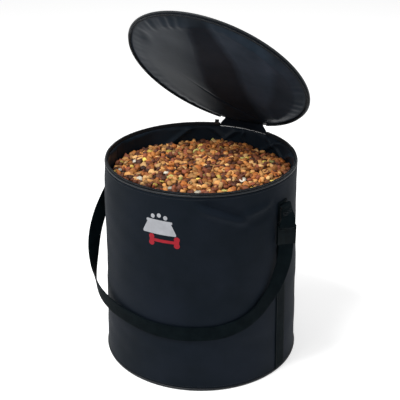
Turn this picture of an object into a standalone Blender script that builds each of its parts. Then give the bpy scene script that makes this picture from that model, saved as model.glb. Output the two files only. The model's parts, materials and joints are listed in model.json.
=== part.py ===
# Round, soft-sided storage bag for dry pet food, with a zipped lid on a fabric hinge, a webbing
# strap slung across the front, and the food inside it.
# Metres, +Z up. The origin is the centre of the base on the ground, the front faces -Y, the lid
# hinges at +Y and the strap is sewn on at -X and +X.
import math
import random

import bmesh
import bpy
import numpy as np
from mathutils import Matrix, Vector

# Clearance between touching pieces, then driving sizes
GAP = 0.0003
RIM_RADIUS = 0.190
BASE_RADIUS = 0.1985
WALL_TOP = 0.414
WALL_THICKNESS = 0.005
BASE_THICKNESS = 0.004
LINING_THICKNESS = 0.001
BASE_PIPING_RADIUS = 0.0022
PIPING_RADIUS = 0.002
PIPING_INSET = 0.0015
SEAM_STRIP_WIDTH = 0.030
SEAM_STRIP_THICKNESS = 0.0014
SEAM_STRIP_TOP = 0.374
SEAM_REACH = 12
SEAM_AZIMUTH = 83.4
SAG_DEPTH = 0.0009

ZIP_BAND = 0.008
ZIP_MESH_GAP = 0.0015
TAPE_THICKNESS = 0.001
COIL_RADIUS = 0.0014
SLIDER_WIDTH = 0.009
SLIDER_PLATE = 0.0015
SLIDER_BRIDGE = 0.0009
SLIDER_DROP = 0.0032
SLIDER_RISE = 0.0052
LUG_WIDTH = 0.002
LUG_RADIUS = 0.0025
LUG_HOLE_RADIUS = 0.0013
LUG_DROP = 0.002
PULL_LENGTH = 0.026
PULL_WIDTH = 0.0075
PULL_THICKNESS = 0.0014
PULL_WINDOW = 0.0034
PULL_BAR = 0.0015

LID_BAND = 0.0065
LID_BAND_THICKNESS = 0.002
LID_THICKNESS = 0.003
LID_CROWN = 0.004
LID_LINING_FOLD = 0.0042
LID_GATHERS = 22
LID_OPEN = 49.0
HINGE_WIDTH = 0.110
HINGE_THICKNESS = 0.0012
HINGE_INSET = 0.002

WEBBING_WIDTH = 0.030
WEBBING_THICKNESS = 0.0016
BUCKLE_AZIMUTH = 80.5
BUCKLE_TURN = -36.0
BUCKLE_STANDOFF = 0.0185
BUCKLE_TOP = 0.331
BUCKLE_HEIGHT = 0.039
BUCKLE_ARM = 0.0026
BUCKLE_BAR = 0.0036
BUCKLE_LIP = 0.001
BUCKLE_STEP = 0.0003
PLATE_HEIGHT = 0.028
PLATE_THICKNESS = 0.0022
LOOP_TOP = 0.371
LOOP_BULGE = 0.016
TAIL_LENGTH = 0.042
TAIL_LEAN = 0.0006
STRAP_LEVEL = 0.135

FILL_HEIGHT = 0.384
MOUND_HEIGHT = 0.015
MOUND_LEAN = 0.004
MOUND_LUMP = 0.0025
FLAT_LINING = 0.300
LINING_PUCKER = 0.0010
PELLET_PITCH = 0.0175
PELLET_HEIGHT = 0.0042
PELLET_SHIFT = 0.22

SIDE_GAP = math.radians(0.5)
SLIDER_MARGIN = 0.0035

# Facets
SEGMENTS = 64
WALL_ROWS = 12

# Sizes that follow
WALL_BOTTOM = 2 * BASE_PIPING_RADIUS + 2 * GAP
ZIP_TOP = WALL_TOP + ZIP_BAND
TAPE_OUTER = RIM_RADIUS - PIPING_INSET - PIPING_RADIUS - GAP
TAPE_INNER = TAPE_OUTER - TAPE_THICKNESS
COIL_CENTRE = TAPE_OUTER + GAP + COIL_RADIUS
LID_RADIUS = RIM_RADIUS
HINGE_HALF = HINGE_WIDTH / 2 / RIM_RADIUS
HINGE_TOP = ZIP_TOP + ZIP_MESH_GAP + LID_BAND
LID_UNDER = HINGE_TOP - LID_THICKNESS / 2
LID_EDGE = LID_RADIUS - PIPING_RADIUS - GAP
SLIDER_PARK = HINGE_HALF + SIDE_GAP + (SLIDER_WIDTH / 2 + SLIDER_MARGIN) / COIL_CENTRE
SLIDER_INNER = COIL_CENTRE + COIL_RADIUS + GAP
LUG_AXIS_RADIUS = SLIDER_INNER + SLIDER_PLATE + LUG_HOLE_RADIUS + LUG_WIDTH / 2
LUG_AXIS_HEIGHT = ZIP_TOP - LUG_DROP

# Strap round the front: azimuth from the front towards +X, height, clear gap to the wall, and
# how far its face is turned from facing straight out
STRAP_ROUTE = [
    (79.0, 0.266, 0.0160, -34.0),
    (77.6, 0.245, 0.0140, -32.0),
    (75.6, 0.223, 0.0112, -27.0),
    (73.0, 0.202, 0.0082, -19.0),
    (68.5, 0.180, 0.0052, -9.0),
    (62.5, 0.160, 0.0030, -2.0),
    (53.5, 0.144, 0.0021, 0.0),
    (42.0, 0.134, 0.0018, 0.0),
    (29.0, 0.1305, 0.0018, 0.0),
    (16.0, 0.1295, 0.0018, 0.0),
    (3.0, 0.1300, 0.0020, 0.0),
    (-10.0, 0.1325, 0.0024, 0.0),
    (-22.0, 0.1345, 0.0048, 2.0),
    (-34.0, 0.1370, 0.0100, 0.0),
    (-46.0, 0.1430, 0.0180, -8.0),
    (-57.0, 0.1580, 0.0260, -22.0),
    (-66.0, 0.1880, 0.0320, -38.0),
    (-72.0, 0.2260, 0.0320, -46.0),
    (-77.0, 0.2640, 0.0270, -44.0),
    (-82.0, 0.3000, 0.0180, -32.0),
    (-84.6, 0.3280, 0.0090, -16.0),
    (-84.2, 0.3460, 0.0030, -4.0),
    (-SEAM_AZIMUTH, 0.3580, GAP, 0.0),
    (-SEAM_AZIMUTH, 0.3690, GAP, 0.0),
]


def clear_scene():
    for old in list(bpy.data.objects):
        bpy.data.objects.remove(old, do_unlink=True)


def material(name, colour, roughness, metallic=0.0):
    mat = bpy.data.materials.new(name)
    mat.use_nodes = True
    shader = mat.node_tree.nodes["Principled BSDF"]
    shader.inputs["Base Color"].default_value = (*colour, 1.0)
    shader.inputs["Roughness"].default_value = roughness
    shader.inputs["Metallic"].default_value = metallic
    mat.diffuse_color = (*colour, 1.0)
    return mat


def finish_object(name, bm, mat, parent=None, smooth=True):
    bmesh.ops.recalc_face_normals(bm, faces=bm.faces)
    mesh = bpy.data.meshes.new(name)
    bm.to_mesh(mesh)
    bm.free()
    if smooth:
        mesh.shade_smooth()
        mesh.set_sharp_from_angle(angle=math.radians(40))
    obj = bpy.data.objects.new(name, mesh)
    bpy.context.collection.objects.link(obj)
    obj.data.materials.append(mat)
    obj.parent = parent
    return obj


def taper(z):
    """Outer radius of the plain wall: a straight line from the base up to the rim."""
    return BASE_RADIUS + (RIM_RADIUS - BASE_RADIUS) * min(z, WALL_TOP) / WALL_TOP


def ease(value, low, high):
    """0 below low, 1 above high, and a smooth step between."""
    t = min(max((value - low) / (high - low), 0.0), 1.0)
    return t * t * (3 - 2 * t)


def sag(azimuth, z):
    """How far the soft wall stands out of its taper: broad dents that fade towards the base, the
    rim, both seams and the band where the strap lies."""
    up = z / WALL_TOP
    free = ease(up, 0.02, 0.16) * (1 - ease(up, 0.90, 0.995))
    strap_band = ease(abs(z - STRAP_LEVEL), 0.75 * WEBBING_WIDTH, 1.8 * WEBBING_WIDTH)
    dents = math.sin(3 * azimuth + 5 * up) + 0.8 * math.sin(5 * azimuth - 9 * up + 1.3)
    off_seam = abs(azimuth) - math.radians(SEAM_AZIMUTH)
    side = math.exp(-(off_seam * RIM_RADIUS / SEAM_STRIP_WIDTH) ** 4)
    return SAG_DEPTH * free * strap_band * dents * (1 - side)


def polar(azimuth, radius, z):
    """A point by its azimuth in radians from the front towards +X, its radius and its height."""
    return Vector((radius * math.sin(azimuth), -radius * math.cos(azimuth), z))


def turned(profile, start=None, end=None):
    """Turn a closed (radius, height) profile about Z: all the way, or from start to end azimuth."""
    bm = bmesh.new()
    first = start or 0.0
    verts = [bm.verts.new(polar(first, r, z)) for r, z in profile]
    axis = Vector((0, 0, 1))
    if start is None:
        edges = [bm.edges.new((a, b)) for a, b in zip(verts, verts[1:] + verts[:1])]
        bmesh.ops.spin(bm, geom=edges, axis=axis, cent=Vector(), angle=2 * math.pi,
                       steps=SEGMENTS, use_merge=True)
        bmesh.ops.remove_doubles(bm, verts=bm.verts, dist=1e-6)
    else:
        face = bm.faces.new(verts)
        steps = max(2, round(SEGMENTS * (end - start) / (2 * math.pi)))
        bmesh.ops.spin(bm, geom=[face], axis=axis, cent=Vector(), angle=end - start, steps=steps)
    return bm


def disc(profile):
    """Turn an open profile that starts and ends on the axis, and close its two poles."""
    bm = bmesh.new()
    verts = [bm.verts.new(polar(0.0, r, z)) for r, z in profile]
    edges = [bm.edges.new((a, b)) for a, b in zip(verts, verts[1:])]
    bmesh.ops.spin(bm, geom=edges, axis=Vector((0, 0, 1)), cent=Vector(), angle=2 * math.pi,
                   steps=SEGMENTS, use_merge=True)
    bmesh.ops.remove_doubles(bm, verts=bm.verts, dist=1e-6)
    return bm


def rectangle(inner, outer, low, high):
    return [(inner, low), (outer, low), (outer, high), (inner, high)]


def circle(centre, height, radius, sides=6):
    turns = [2 * math.pi * (i + 0.5) / sides for i in range(sides)]
    return [(centre + radius * math.cos(t), height + radius * math.sin(t)) for t in turns]


def block(bm, low, high):
    """A box between two corners."""
    size = Vector(high) - Vector(low)
    centre = (Vector(high) + Vector(low)) / 2
    grown = Matrix.Translation(centre) @ Matrix.Diagonal((*size, 1.0))
    return bmesh.ops.create_cube(bm, size=1.0, matrix=grown)["verts"]


def boolean(target, tool, operation):
    modifier = target.modifiers.new(operation.title(), "BOOLEAN")
    modifier.operation = operation
    modifier.solver = "EXACT"
    modifier.object = tool
    tool.hide_render = True
    tool.display_type = "WIRE"


# Base
def build_base(mats):
    edge = BASE_RADIUS - BASE_PIPING_RADIUS - GAP
    finish_object("base_panel", disc([(0, 0), (edge, 0), (edge, BASE_THICKNESS), (0, BASE_THICKNESS)]),
                  mats["woven"])
    ring = circle(BASE_RADIUS, BASE_PIPING_RADIUS + GAP, BASE_PIPING_RADIUS)
    finish_object("base_piping", turned(ring), mats["piping"])


# Side wall, with the seam strips down its two sides
def build_wall(mats):
    inner = [(taper(z) - WALL_THICKNESS, z) for z in (WALL_TOP, WALL_BOTTOM)]
    heights = [WALL_BOTTOM + (WALL_TOP - WALL_BOTTOM) * i / WALL_ROWS for i in range(WALL_ROWS + 1)]
    bm = turned([(taper(z), z) for z in heights] + inner)
    for vert in bm.verts:
        azimuth = math.atan2(vert.co.x, -vert.co.y)
        radius = math.hypot(vert.co.x, vert.co.y)
        if radius > taper(vert.co.z) - WALL_THICKNESS / 2:
            vert.co = polar(azimuth, radius + sag(azimuth, vert.co.z), vert.co.z)
    finish_object("side_wall", bm, mats["woven"])
    for name, side in (("right_seam_strip", 1), ("left_seam_strip", -1)):
        finish_object(name, seam_strip(side), mats["webbing"])


def seam_strip(side):
    """A flat strip that follows the wall's taper, curved round it."""
    bm = bmesh.new()
    half = SEAM_STRIP_WIDTH / 2 / RIM_RADIUS
    columns = [side * math.radians(SEAM_AZIMUTH) + half * (i / 3 - 1) for i in range(7)]
    rows = []
    for z in (WALL_BOTTOM + GAP, SEAM_STRIP_TOP):
        inner = taper(z) + GAP
        rows.append([bm.verts.new(polar(a, inner, z)) for a in columns])
        rows.append([bm.verts.new(polar(a, inner + SEAM_STRIP_THICKNESS, z)) for a in columns])
    low_in, low_out, high_in, high_out = rows
    for first, second in ((low_in, high_in), (high_in, high_out), (high_out, low_out), (low_out, low_in)):
        for i in range(len(columns) - 1):
            bm.faces.new((first[i], first[i + 1], second[i + 1], second[i]))
    for i in (0, -1):
        bm.faces.new((low_in[i], low_out[i], high_out[i], high_in[i]))
    return bm


# Inner lining: a thin cup with soft puckers above the food
def lining_pucker(azimuth, z):
    """Two waves round the cup, strongest between the food and the rim's seam."""
    free = ease(z, FILL_HEIGHT - 0.040, FILL_HEIGHT) * (1 - ease(z, WALL_TOP - 0.004, WALL_TOP))
    wave = math.sin(9 * azimuth + 1.0) + 0.7 * math.sin(17 * azimuth + 90 * z)
    return -LINING_PUCKER * free * (1 + 0.55 * wave)


def build_lining(mats):
    floor = BASE_THICKNESS + GAP
    low = WALL_BOTTOM + GAP
    outer = [(taper(z) - WALL_THICKNESS - GAP, z) for z in (low, WALL_TOP)]
    tall = [WALL_TOP, WALL_TOP - 0.009, WALL_TOP - 0.018, WALL_TOP - 0.030, FLAT_LINING]
    inner = [(taper(z) - WALL_THICKNESS - GAP - LINING_THICKNESS, z) for z in tall]
    corner = taper(low) - WALL_THICKNESS - GAP
    profile = [(0, floor), (corner - 0.002, floor), (corner, low)] + outer[1:] + inner
    foot = floor + LINING_THICKNESS
    profile += [(corner - LINING_THICKNESS, low + LINING_THICKNESS), (corner - 0.003, foot), (0, foot)]
    bm = disc(profile)
    for vert in bm.verts:
        radius = math.hypot(vert.co.x, vert.co.y)
        edge = taper(vert.co.z) - WALL_THICKNESS - GAP - LINING_THICKNESS / 2
        if vert.co.z > 0.2 and radius < edge:
            azimuth = math.atan2(vert.co.x, -vert.co.y)
            vert.co = polar(azimuth, radius + lining_pucker(azimuth, vert.co.z), vert.co.z)
    finish_object("inner_lining", bm, mats["lining"])


# Rim: piping, lower half of the zip, and the fabric strip that the lid hangs on
def build_rim(mats):
    ring = circle(RIM_RADIUS - PIPING_INSET, WALL_TOP + GAP + PIPING_RADIUS, PIPING_RADIUS)
    finish_object("rim_piping", turned(ring), mats["piping"])
    span = zip_span()
    tape = rectangle(TAPE_INNER, TAPE_OUTER, WALL_TOP + GAP, ZIP_TOP)
    finish_object("rim_zip_tape", turned(tape, *span), mats["tape"])
    coil = circle(COIL_CENTRE, ZIP_TOP - COIL_RADIUS, COIL_RADIUS)
    finish_object("rim_zip_coil", turned(coil, *span), mats["coil"])
    low = WALL_TOP + 2 * GAP + 2 * PIPING_RADIUS
    outer = LID_RADIUS - HINGE_INSET
    strip = rectangle(outer - HINGE_THICKNESS, outer, low, LID_UNDER - GAP)
    finish_object("hinge_strip", turned(strip, math.pi - HINGE_HALF, math.pi + HINGE_HALF), mats["woven"])


def zip_span():
    """Azimuths where the zip starts and ends, on both sides of the hinge strip."""
    start = HINGE_HALF + SIDE_GAP
    return math.pi + start, 3 * math.pi - start


# Lid, modelled shut and then swung open about the hinge
def build_lid(mats):
    hinge = bpy.data.objects.new("lid_hinge_axis", None)
    bpy.context.collection.objects.link(hinge)
    hinge.location = (0, LID_RADIUS, HINGE_TOP)
    hinge.rotation_euler = (-math.radians(LID_OPEN), 0, 0)
    span = zip_span()
    top = HINGE_TOP + LID_THICKNESS / 2
    crown = [(LID_EDGE * r, top + LID_CROWN * (1 - r * r)) for r in (0, 0.3, 0.6, 0.85, 1.0)]
    low = ZIP_TOP + ZIP_MESH_GAP
    band_low = low + 2 * COIL_RADIUS + GAP
    under = LID_UNDER - GAP
    band = rectangle(TAPE_OUTER + GAP, TAPE_OUTER + GAP + LID_BAND_THICKNESS, band_low, under)
    pieces = [
        ("lid_panel", disc(crown + [(LID_EDGE, LID_UNDER), (0, LID_UNDER)]), "woven"),
        ("lid_piping", turned(circle(LID_RADIUS, HINGE_TOP, PIPING_RADIUS)), "piping"),
        ("lid_band", turned(band, *span), "woven"),
        ("lid_zip_tape", turned(rectangle(TAPE_INNER, TAPE_OUTER, low, under), *span), "tape"),
        ("lid_zip_coil", turned(circle(COIL_CENTRE, low + COIL_RADIUS, COIL_RADIUS), *span), "coil"),
        ("lid_lining", lid_lining(under), "lining"),
    ]
    back = Matrix.Translation((0, -LID_RADIUS, -HINGE_TOP))
    for name, bm, mat in pieces:
        bmesh.ops.transform(bm, matrix=back, verts=bm.verts)
        finish_object(name, bm, mats[mat], parent=hinge)


def lid_fold(x, y):
    """0 to 1: how deep the loose lining hangs under the lid, in broad slanting folds."""
    r = math.hypot(x, y) / TAPE_INNER
    along = (x * 0.80 + y * 0.60) / TAPE_INNER
    across = (-x * 0.60 + y * 0.80) / TAPE_INNER
    broad = 0.5 + 0.5 * math.sin(4.2 * along + 1.1 * math.sin(2.3 * across) + 0.4)
    narrow = 0.5 + 0.5 * math.sin(11 * across + 3.0 * along * along + 1.9)
    inner = (1 - ease(r, 0.80, 0.98)) * (0.62 * broad + 0.38 * narrow)
    gathers = 0.5 + 0.5 * math.sin(LID_GATHERS * math.atan2(y, x))
    return inner + 0.35 * gathers * ease(r, 0.74, 0.90) * (1 - ease(r, 0.93, 1.0))


def lid_lining(top):
    """A thin disc, flat above, its underside let down into folds."""
    edge = TAPE_INNER - GAP
    rings = [0.10, 0.22, 0.34, 0.46, 0.57, 0.68, 0.78, 0.87, 0.94, 1.0]
    under = [(edge * r, top - LINING_THICKNESS) for r in rings]
    bm = disc([(0, top), (edge, top)] + under[::-1] + [(0, top - LINING_THICKNESS)])
    for vert in bm.verts:
        if vert.co.z < top - LINING_THICKNESS / 2:
            vert.co.z -= LID_LINING_FOLD * lid_fold(vert.co.x, vert.co.y)
    return bm


# Zip slider and its pull, made at the back (+Y) and turned to where the slider is parked
def build_slider(mats):
    run = bpy.data.objects.new("slider_run_axis", None)
    bpy.context.collection.objects.link(run)
    run.rotation_euler = (0, 0, SLIDER_PARK)
    bridge_low = ZIP_TOP + GAP
    bridge_high = bridge_low + SLIDER_BRIDGE
    outer = SLIDER_INNER + SLIDER_PLATE
    inner = TAPE_INNER - GAP
    outline = [
        (inner - SLIDER_PLATE, ZIP_TOP - SLIDER_DROP), (inner, ZIP_TOP - SLIDER_DROP),
        (inner, bridge_low), (SLIDER_INNER, bridge_low),
        (SLIDER_INNER, ZIP_TOP - SLIDER_DROP), (outer, ZIP_TOP - SLIDER_DROP),
        (outer, ZIP_TOP + SLIDER_RISE), (SLIDER_INNER, ZIP_TOP + SLIDER_RISE),
        (SLIDER_INNER, bridge_high), (inner - SLIDER_PLATE, bridge_high),
    ]
    slider = finish_object("zip_slider", extruded(outline, SLIDER_WIDTH), mats["metal"], run, False)
    root = outer - SLIDER_PLATE / 3
    lug = [(root, LUG_AXIS_HEIGHT - LUG_RADIUS)]
    for i in range(9):
        t = math.pi * (i / 8 - 0.5)
        lug.append((LUG_AXIS_RADIUS + LUG_RADIUS * math.cos(t), LUG_AXIS_HEIGHT + LUG_RADIUS * math.sin(t)))
    lug.append((root, LUG_AXIS_HEIGHT + LUG_RADIUS))
    tab = finish_object("slider_lug", extruded(lug, LUG_WIDTH), mats["metal"], run)
    boolean(slider, tab, "UNION")
    hole = circle(LUG_AXIS_RADIUS, LUG_AXIS_HEIGHT, LUG_HOLE_RADIUS, 16)
    bore = finish_object("lug_hole", extruded(hole, 2 * LUG_WIDTH), mats["metal"], run)
    boolean(slider, bore, "DIFFERENCE")
    build_pull(mats, run)


def extruded(outline, width):
    """Extrude a (y, z) outline along X, centred."""
    bm = bmesh.new()
    face = bm.faces.new([bm.verts.new((-width / 2, y, z)) for y, z in outline])
    push(bm, face, (width, 0, 0))
    return bm


def push(bm, face, offset):
    """Extrude a face of an open bmesh by an offset."""
    moved = bmesh.ops.extrude_face_region(bm, geom=[face])["geom"]
    bmesh.ops.translate(bm, vec=offset, verts=[v for v in moved if isinstance(v, bmesh.types.BMVert)])


def build_pull(mats, run):
    pivot = bpy.data.objects.new("pull_axis", None)
    bpy.context.collection.objects.link(pivot)
    pivot.parent = run
    pivot.location = (0, LUG_AXIS_RADIUS, LUG_AXIS_HEIGHT)
    half = PULL_WIDTH / 2
    outline = [(-half, PULL_BAR / 2), (half, PULL_BAR / 2), (half, -0.6 * PULL_LENGTH),
               (0.72 * half, -PULL_LENGTH), (-0.72 * half, -PULL_LENGTH), (-half, -0.6 * PULL_LENGTH)]
    bm = bmesh.new()
    face = bm.faces.new([bm.verts.new((x, -PULL_THICKNESS / 2, z)) for x, z in outline])
    push(bm, face, (0, PULL_THICKNESS, 0))
    pull = finish_object("zip_pull", bm, mats["metal"], pivot, False)
    window = bmesh.new()
    block(window, (-PULL_WINDOW / 2, -PULL_THICKNESS, -PULL_BAR / 2 - LUG_RADIUS - 2 * GAP),
          (PULL_WINDOW / 2, PULL_THICKNESS, -PULL_BAR / 2))
    boolean(pull, finish_object("pull_window", window, mats["metal"], pivot), "DIFFERENCE")


# Webbing: stations are (point, facing) pairs, and the strip between them is swept smoothly
def wall_station(azimuth, z, clear, turn):
    a = math.radians(azimuth)
    over_seam = abs(abs(azimuth) - SEAM_AZIMUTH) < SEAM_REACH
    seat = taper(z) + (SEAM_STRIP_THICKNESS + GAP) * over_seam
    radius = seat + clear + WEBBING_THICKNESS / 2
    return polar(a, radius, z), polar(a + math.radians(turn), 1.0, 0.0)


def buckle_frame():
    """Origin on the wall side of the buckle's front plate, and its width and outward axes."""
    a = math.radians(BUCKLE_AZIMUTH)
    centre = polar(a, taper(BUCKLE_TOP) + BUCKLE_STANDOFF, 0.0)
    outward = polar(a + math.radians(BUCKLE_TURN), 1.0, 0.0)
    return centre, outward.cross(Vector((0, 0, -1))), outward


def buckle_station(out, z, facing):
    """A point out from the buckle's plane; facing is the webbing's outer side there, (out, up)."""
    centre, width, outward = buckle_frame()
    point = centre + outward * out + Vector((0, 0, z))
    return point, (outward * facing[0] + Vector((0, 0, facing[1]))).normalized()


def smooth_stations(stations, steps):
    """Catmull-Rom curve through the stations' points and facings."""
    data = np.array([[*p, *n] for p, n in stations])
    padded = np.vstack([2 * data[0] - data[1], data, 2 * data[-1] - data[-2]])
    out = []
    for i in range(1, len(padded) - 2):
        p0, p1, p2, p3 = padded[i - 1:i + 3]
        for t in np.arange(steps) / steps:
            out.append(0.5 * (2 * p1 + (p2 - p0) * t + (2 * p0 - 5 * p1 + 4 * p2 - p3) * t ** 2
                              + (3 * p1 - p0 - 3 * p2 + p3) * t ** 3))
    out.append(data[-1])
    return np.array(out)


def webbing(stations, steps=2):
    path = smooth_stations(stations, steps)
    points = path[:, :3]
    along = np.gradient(points, axis=0)
    along /= np.linalg.norm(along, axis=1)[:, None]
    across = np.cross(path[:, 3:], along)
    across /= np.linalg.norm(across, axis=1)[:, None]
    out = np.cross(along, across)
    half_w, half_t = WEBBING_WIDTH / 2, WEBBING_THICKNESS / 2
    corners = [points + sw * half_w * across + st * half_t * out
               for sw, st in ((-1, -1), (1, -1), (1, 1), (-1, 1))]
    bm = bmesh.new()
    rows = [[bm.verts.new(c[i]) for c in corners] for i in range(len(points))]
    for a, b in zip(rows, rows[1:]):
        for j in range(4):
            k = (j + 1) % 4
            bm.faces.new((a[j], a[k], b[k], b[j]))
    bm.faces.new(rows[0])
    bm.faces.new(rows[-1])
    bmesh.ops.triangulate(bm, faces=bm.faces)
    return bm


def hairpin(centre_out, centre_z, radius, start, end, steps=6):
    """Stations round a bar, by angle in degrees from outward (0) to up (90)."""
    stations = []
    for i in range(steps + 1):
        t = math.radians(start + (end - start) * i / steps)
        stations.append(buckle_station(centre_out + radius * math.cos(t), centre_z + radius * math.sin(t),
                                       (math.cos(t), math.sin(t))))
    return stations


def build_strap(mats):
    """The strap's tail, its turn over the buckle's rear bar, and its run round the front."""
    bar_out, bar_z = rear_bar()
    turn_radius = BUCKLE_BAR / 2 + GAP + WEBBING_THICKNESS / 2
    tail_low = bar_z - TAIL_LENGTH
    tail = bar_out - turn_radius
    stations = [buckle_station(tail - TAIL_LEAN * (1 - up) ** 2, tail_low + up * TAIL_LENGTH, (-1, 0))
                for up in (0.0, 0.3, 0.6)]
    stations += hairpin(bar_out, bar_z, turn_radius, 180, 0)
    front = bar_out + turn_radius
    stations.append(buckle_station(front, bar_z - 0.012, (1, 0)))
    stations.append(buckle_station(front, bar_z - 0.026, (1, 0)))
    stations += [wall_station(*row) for row in STRAP_ROUTE]
    finish_object("shoulder_strap", webbing(stations), mats["webbing"])


def rear_bar():
    """Centre of the buckle's rear bar: out from the plate's plane, and height."""
    out = -(BUCKLE_BAR / 2 + WEBBING_THICKNESS + 2 * GAP)
    return out, BUCKLE_TOP - BUCKLE_HEIGHT / 2 - BUCKLE_BAR / 2


def build_anchor(mats):
    """The webbing loop that is sewn to the wall and holds the buckle's top bar."""
    bar_z = BUCKLE_TOP - BUCKLE_BAR / 2
    radius = BUCKLE_BAR / 2 + GAP + WEBBING_THICKNESS / 2
    right = [wall_station(SEAM_AZIMUTH, LOOP_TOP, GAP, 0.0),
             wall_station(SEAM_AZIMUTH, LOOP_TOP - 0.006, 0.0012, -4.0),
             wall_station(SEAM_AZIMUTH - 0.5, LOOP_TOP - 0.016, 0.55 * LOOP_BULGE, -18.0),
             wall_station(SEAM_AZIMUTH - 1.6, LOOP_TOP - 0.027, LOOP_BULGE, -31.0),
             buckle_station(radius, bar_z + 0.007, (1, 0))]
    right += hairpin(0.0, bar_z, radius, 0, -180)
    right.append(buckle_station(-radius, bar_z + 0.008, (-1, 0)))
    finish_object("right_anchor_loop", webbing(right), mats["webbing"])


# Buckle: side arms, a top bar, a front plate and a rear bar
def build_buckle(mats):
    centre, width, outward = buckle_frame()
    half = WEBBING_WIDTH / 2 + 2 * GAP
    low = BUCKLE_TOP - BUCKLE_HEIGHT
    bar_out, bar_z = rear_bar()
    back = bar_out - BUCKLE_BAR / 2
    reach = half + BUCKLE_ARM / 2
    place = Matrix((width, outward, (0, 0, 1))).transposed().to_4x4()
    place.translation = centre
    buckle = buckle_piece("strap_buckle", buckle_box((-reach, 0, low + BUCKLE_LIP),
                          (reach, PLATE_THICKNESS - BUCKLE_STEP, low + PLATE_HEIGHT)), mats, place)
    arms = {"buckle_left_arm": -half - BUCKLE_ARM, "buckle_right_arm": half}
    for name, side in arms.items():
        arm = buckle_box((side, back, low), (side + BUCKLE_ARM, PLATE_THICKNESS, BUCKLE_TOP))
        boolean(buckle, buckle_piece(name, arm, mats, place), "UNION")
    bars = {"buckle_top_bar": (0.0, BUCKLE_TOP - BUCKLE_BAR / 2), "buckle_rear_bar": (bar_out, bar_z)}
    for name, (out, z) in bars.items():
        bar = extruded(circle(out, z, BUCKLE_BAR / 2 - BUCKLE_STEP / 2, 8), 2 * reach)
        boolean(buckle, buckle_piece(name, bar, mats, place), "UNION")


def buckle_box(low, high):
    bm = bmesh.new()
    block(bm, low, high)
    return bm


def buckle_piece(name, bm, mats, place):
    piece = finish_object(name, bm, mats["plastic"], smooth=False)
    piece.matrix_world = place
    return piece


# Food: a bumpy heap cut to the inside of the lining
def mound(x, y):
    """Height of the heap: a low dome that leans back to the right, with slow lumps."""
    r = math.hypot(x, y) / RIM_RADIUS
    lean = MOUND_LEAN * (x - y) / RIM_RADIUS
    lumps = MOUND_LUMP * math.sin(31 * x + 17 * y)
    return FILL_HEIGHT + MOUND_HEIGHT * (1 - r * r) + lean + lumps


def build_kibble(mats):
    """A triangular lattice whose every third point is the top of a pellet, over a solid block."""
    rng = random.Random(7)
    step = PELLET_PITCH / math.sqrt(3)
    count = math.ceil((RIM_RADIUS + PELLET_PITCH) / step)
    bm = bmesh.new()
    grid = {}
    for i in range(-2 * count, 2 * count + 1):
        for j in range(-count, count + 1):
            x = step * (i + j / 2)
            y = step * j * math.sqrt(3) / 2
            if math.hypot(x, y) < RIM_RADIUS + 2 * step:
                top = (i - j) % 3 == 0
                shift = PELLET_SHIFT * step
                x += rng.uniform(-shift, shift)
                y += rng.uniform(-shift, shift)
                bump = rng.uniform(0.6, 1.1) if top else rng.uniform(-0.5, 0.05)
                grid[i, j] = bm.verts.new((x, y, mound(x, y) + PELLET_HEIGHT * bump))
    for (i, j), vert in list(grid.items()):
        right, upper, left = grid.get((i + 1, j)), grid.get((i, j + 1)), grid.get((i - 1, j + 1))
        if right and upper:
            bm.faces.new((vert, right, upper))
        if upper and left:
            bm.faces.new((vert, upper, left))
    bm.verts.ensure_lookup_table()
    loose = [v for v in bm.verts if not v.link_faces]
    bmesh.ops.delete(bm, geom=loose, context="VERTS")
    rim = [e for e in bm.edges if e.is_boundary]
    moved = bmesh.ops.extrude_edge_only(bm, edges=rim)["geom"]
    lower = [v for v in moved if isinstance(v, bmesh.types.BMVert)]
    for vert in lower:
        vert.co.z = FILL_HEIGHT / 2
    bm.faces.new(ordered_ring([e for e in moved if isinstance(e, bmesh.types.BMEdge)], lower))
    crust = finish_object("kibble_crust", bm, mats["kibble"], smooth=False)
    foot = BASE_THICKNESS + 2 * GAP + LINING_THICKNESS
    inset = WALL_THICKNESS + 3 * GAP + LINING_THICKNESS
    top = WALL_TOP + 0.030
    pucker = 2 * LINING_PUCKER
    body = disc([(0, foot), (taper(foot) - inset - 0.004, foot), (taper(0.020) - inset, 0.020),
                 (taper(FLAT_LINING) - inset, FLAT_LINING),
                 (taper(FILL_HEIGHT) - inset - pucker, FILL_HEIGHT - 0.020),
                 (taper(top) - inset - pucker, top), (0, top)])
    heap = finish_object("kibble_heap", body, mats["kibble"], smooth=False)
    below = bmesh.new()
    block(below, (-1, -1, -1), (1, 1, FILL_HEIGHT / 2 + 0.01))
    under = finish_object("kibble_depth", below, mats["kibble"], smooth=False)
    boolean(crust, under, "UNION")
    boolean(heap, crust, "INTERSECT")


def ordered_ring(edges, verts):
    """The vertices of one closed loop of edges, in order."""
    kept = set(verts)
    after = {}
    for edge in edges:
        a, b = edge.verts
        if a in kept and b in kept:
            after.setdefault(a, []).append(b)
            after.setdefault(b, []).append(a)
    start = verts[0]
    ring, last, here = [start], None, start
    while True:
        onward = [v for v in after[here] if v is not last]
        last, here = here, onward[0]
        if here is start:
            return ring
        ring.append(here)


def main():
    clear_scene()
    mats = {
        "woven": material("woven", (0.016, 0.019, 0.026), 0.85),
        "webbing": material("webbing", (0.008, 0.014, 0.017), 0.8),
        "piping": material("piping", (0.05, 0.055, 0.065), 0.6),
        "tape": material("tape", (0.02, 0.022, 0.028), 0.8),
        "coil": material("coil", (0.03, 0.032, 0.038), 0.4),
        "lining": material("lining", (0.02, 0.022, 0.027), 0.35),
        "metal": material("metal", (0.10, 0.10, 0.11), 0.35, 0.9),
        "plastic": material("plastic", (0.007, 0.012, 0.014), 0.4),
        "kibble": material("kibble", (0.30, 0.12, 0.035), 0.9),
    }
    build_base(mats)
    build_wall(mats)
    build_lining(mats)
    build_rim(mats)
    build_lid(mats)
    build_slider(mats)
    build_strap(mats)
    build_anchor(mats)
    build_buckle(mats)
    build_kibble(mats)


main()
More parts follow.
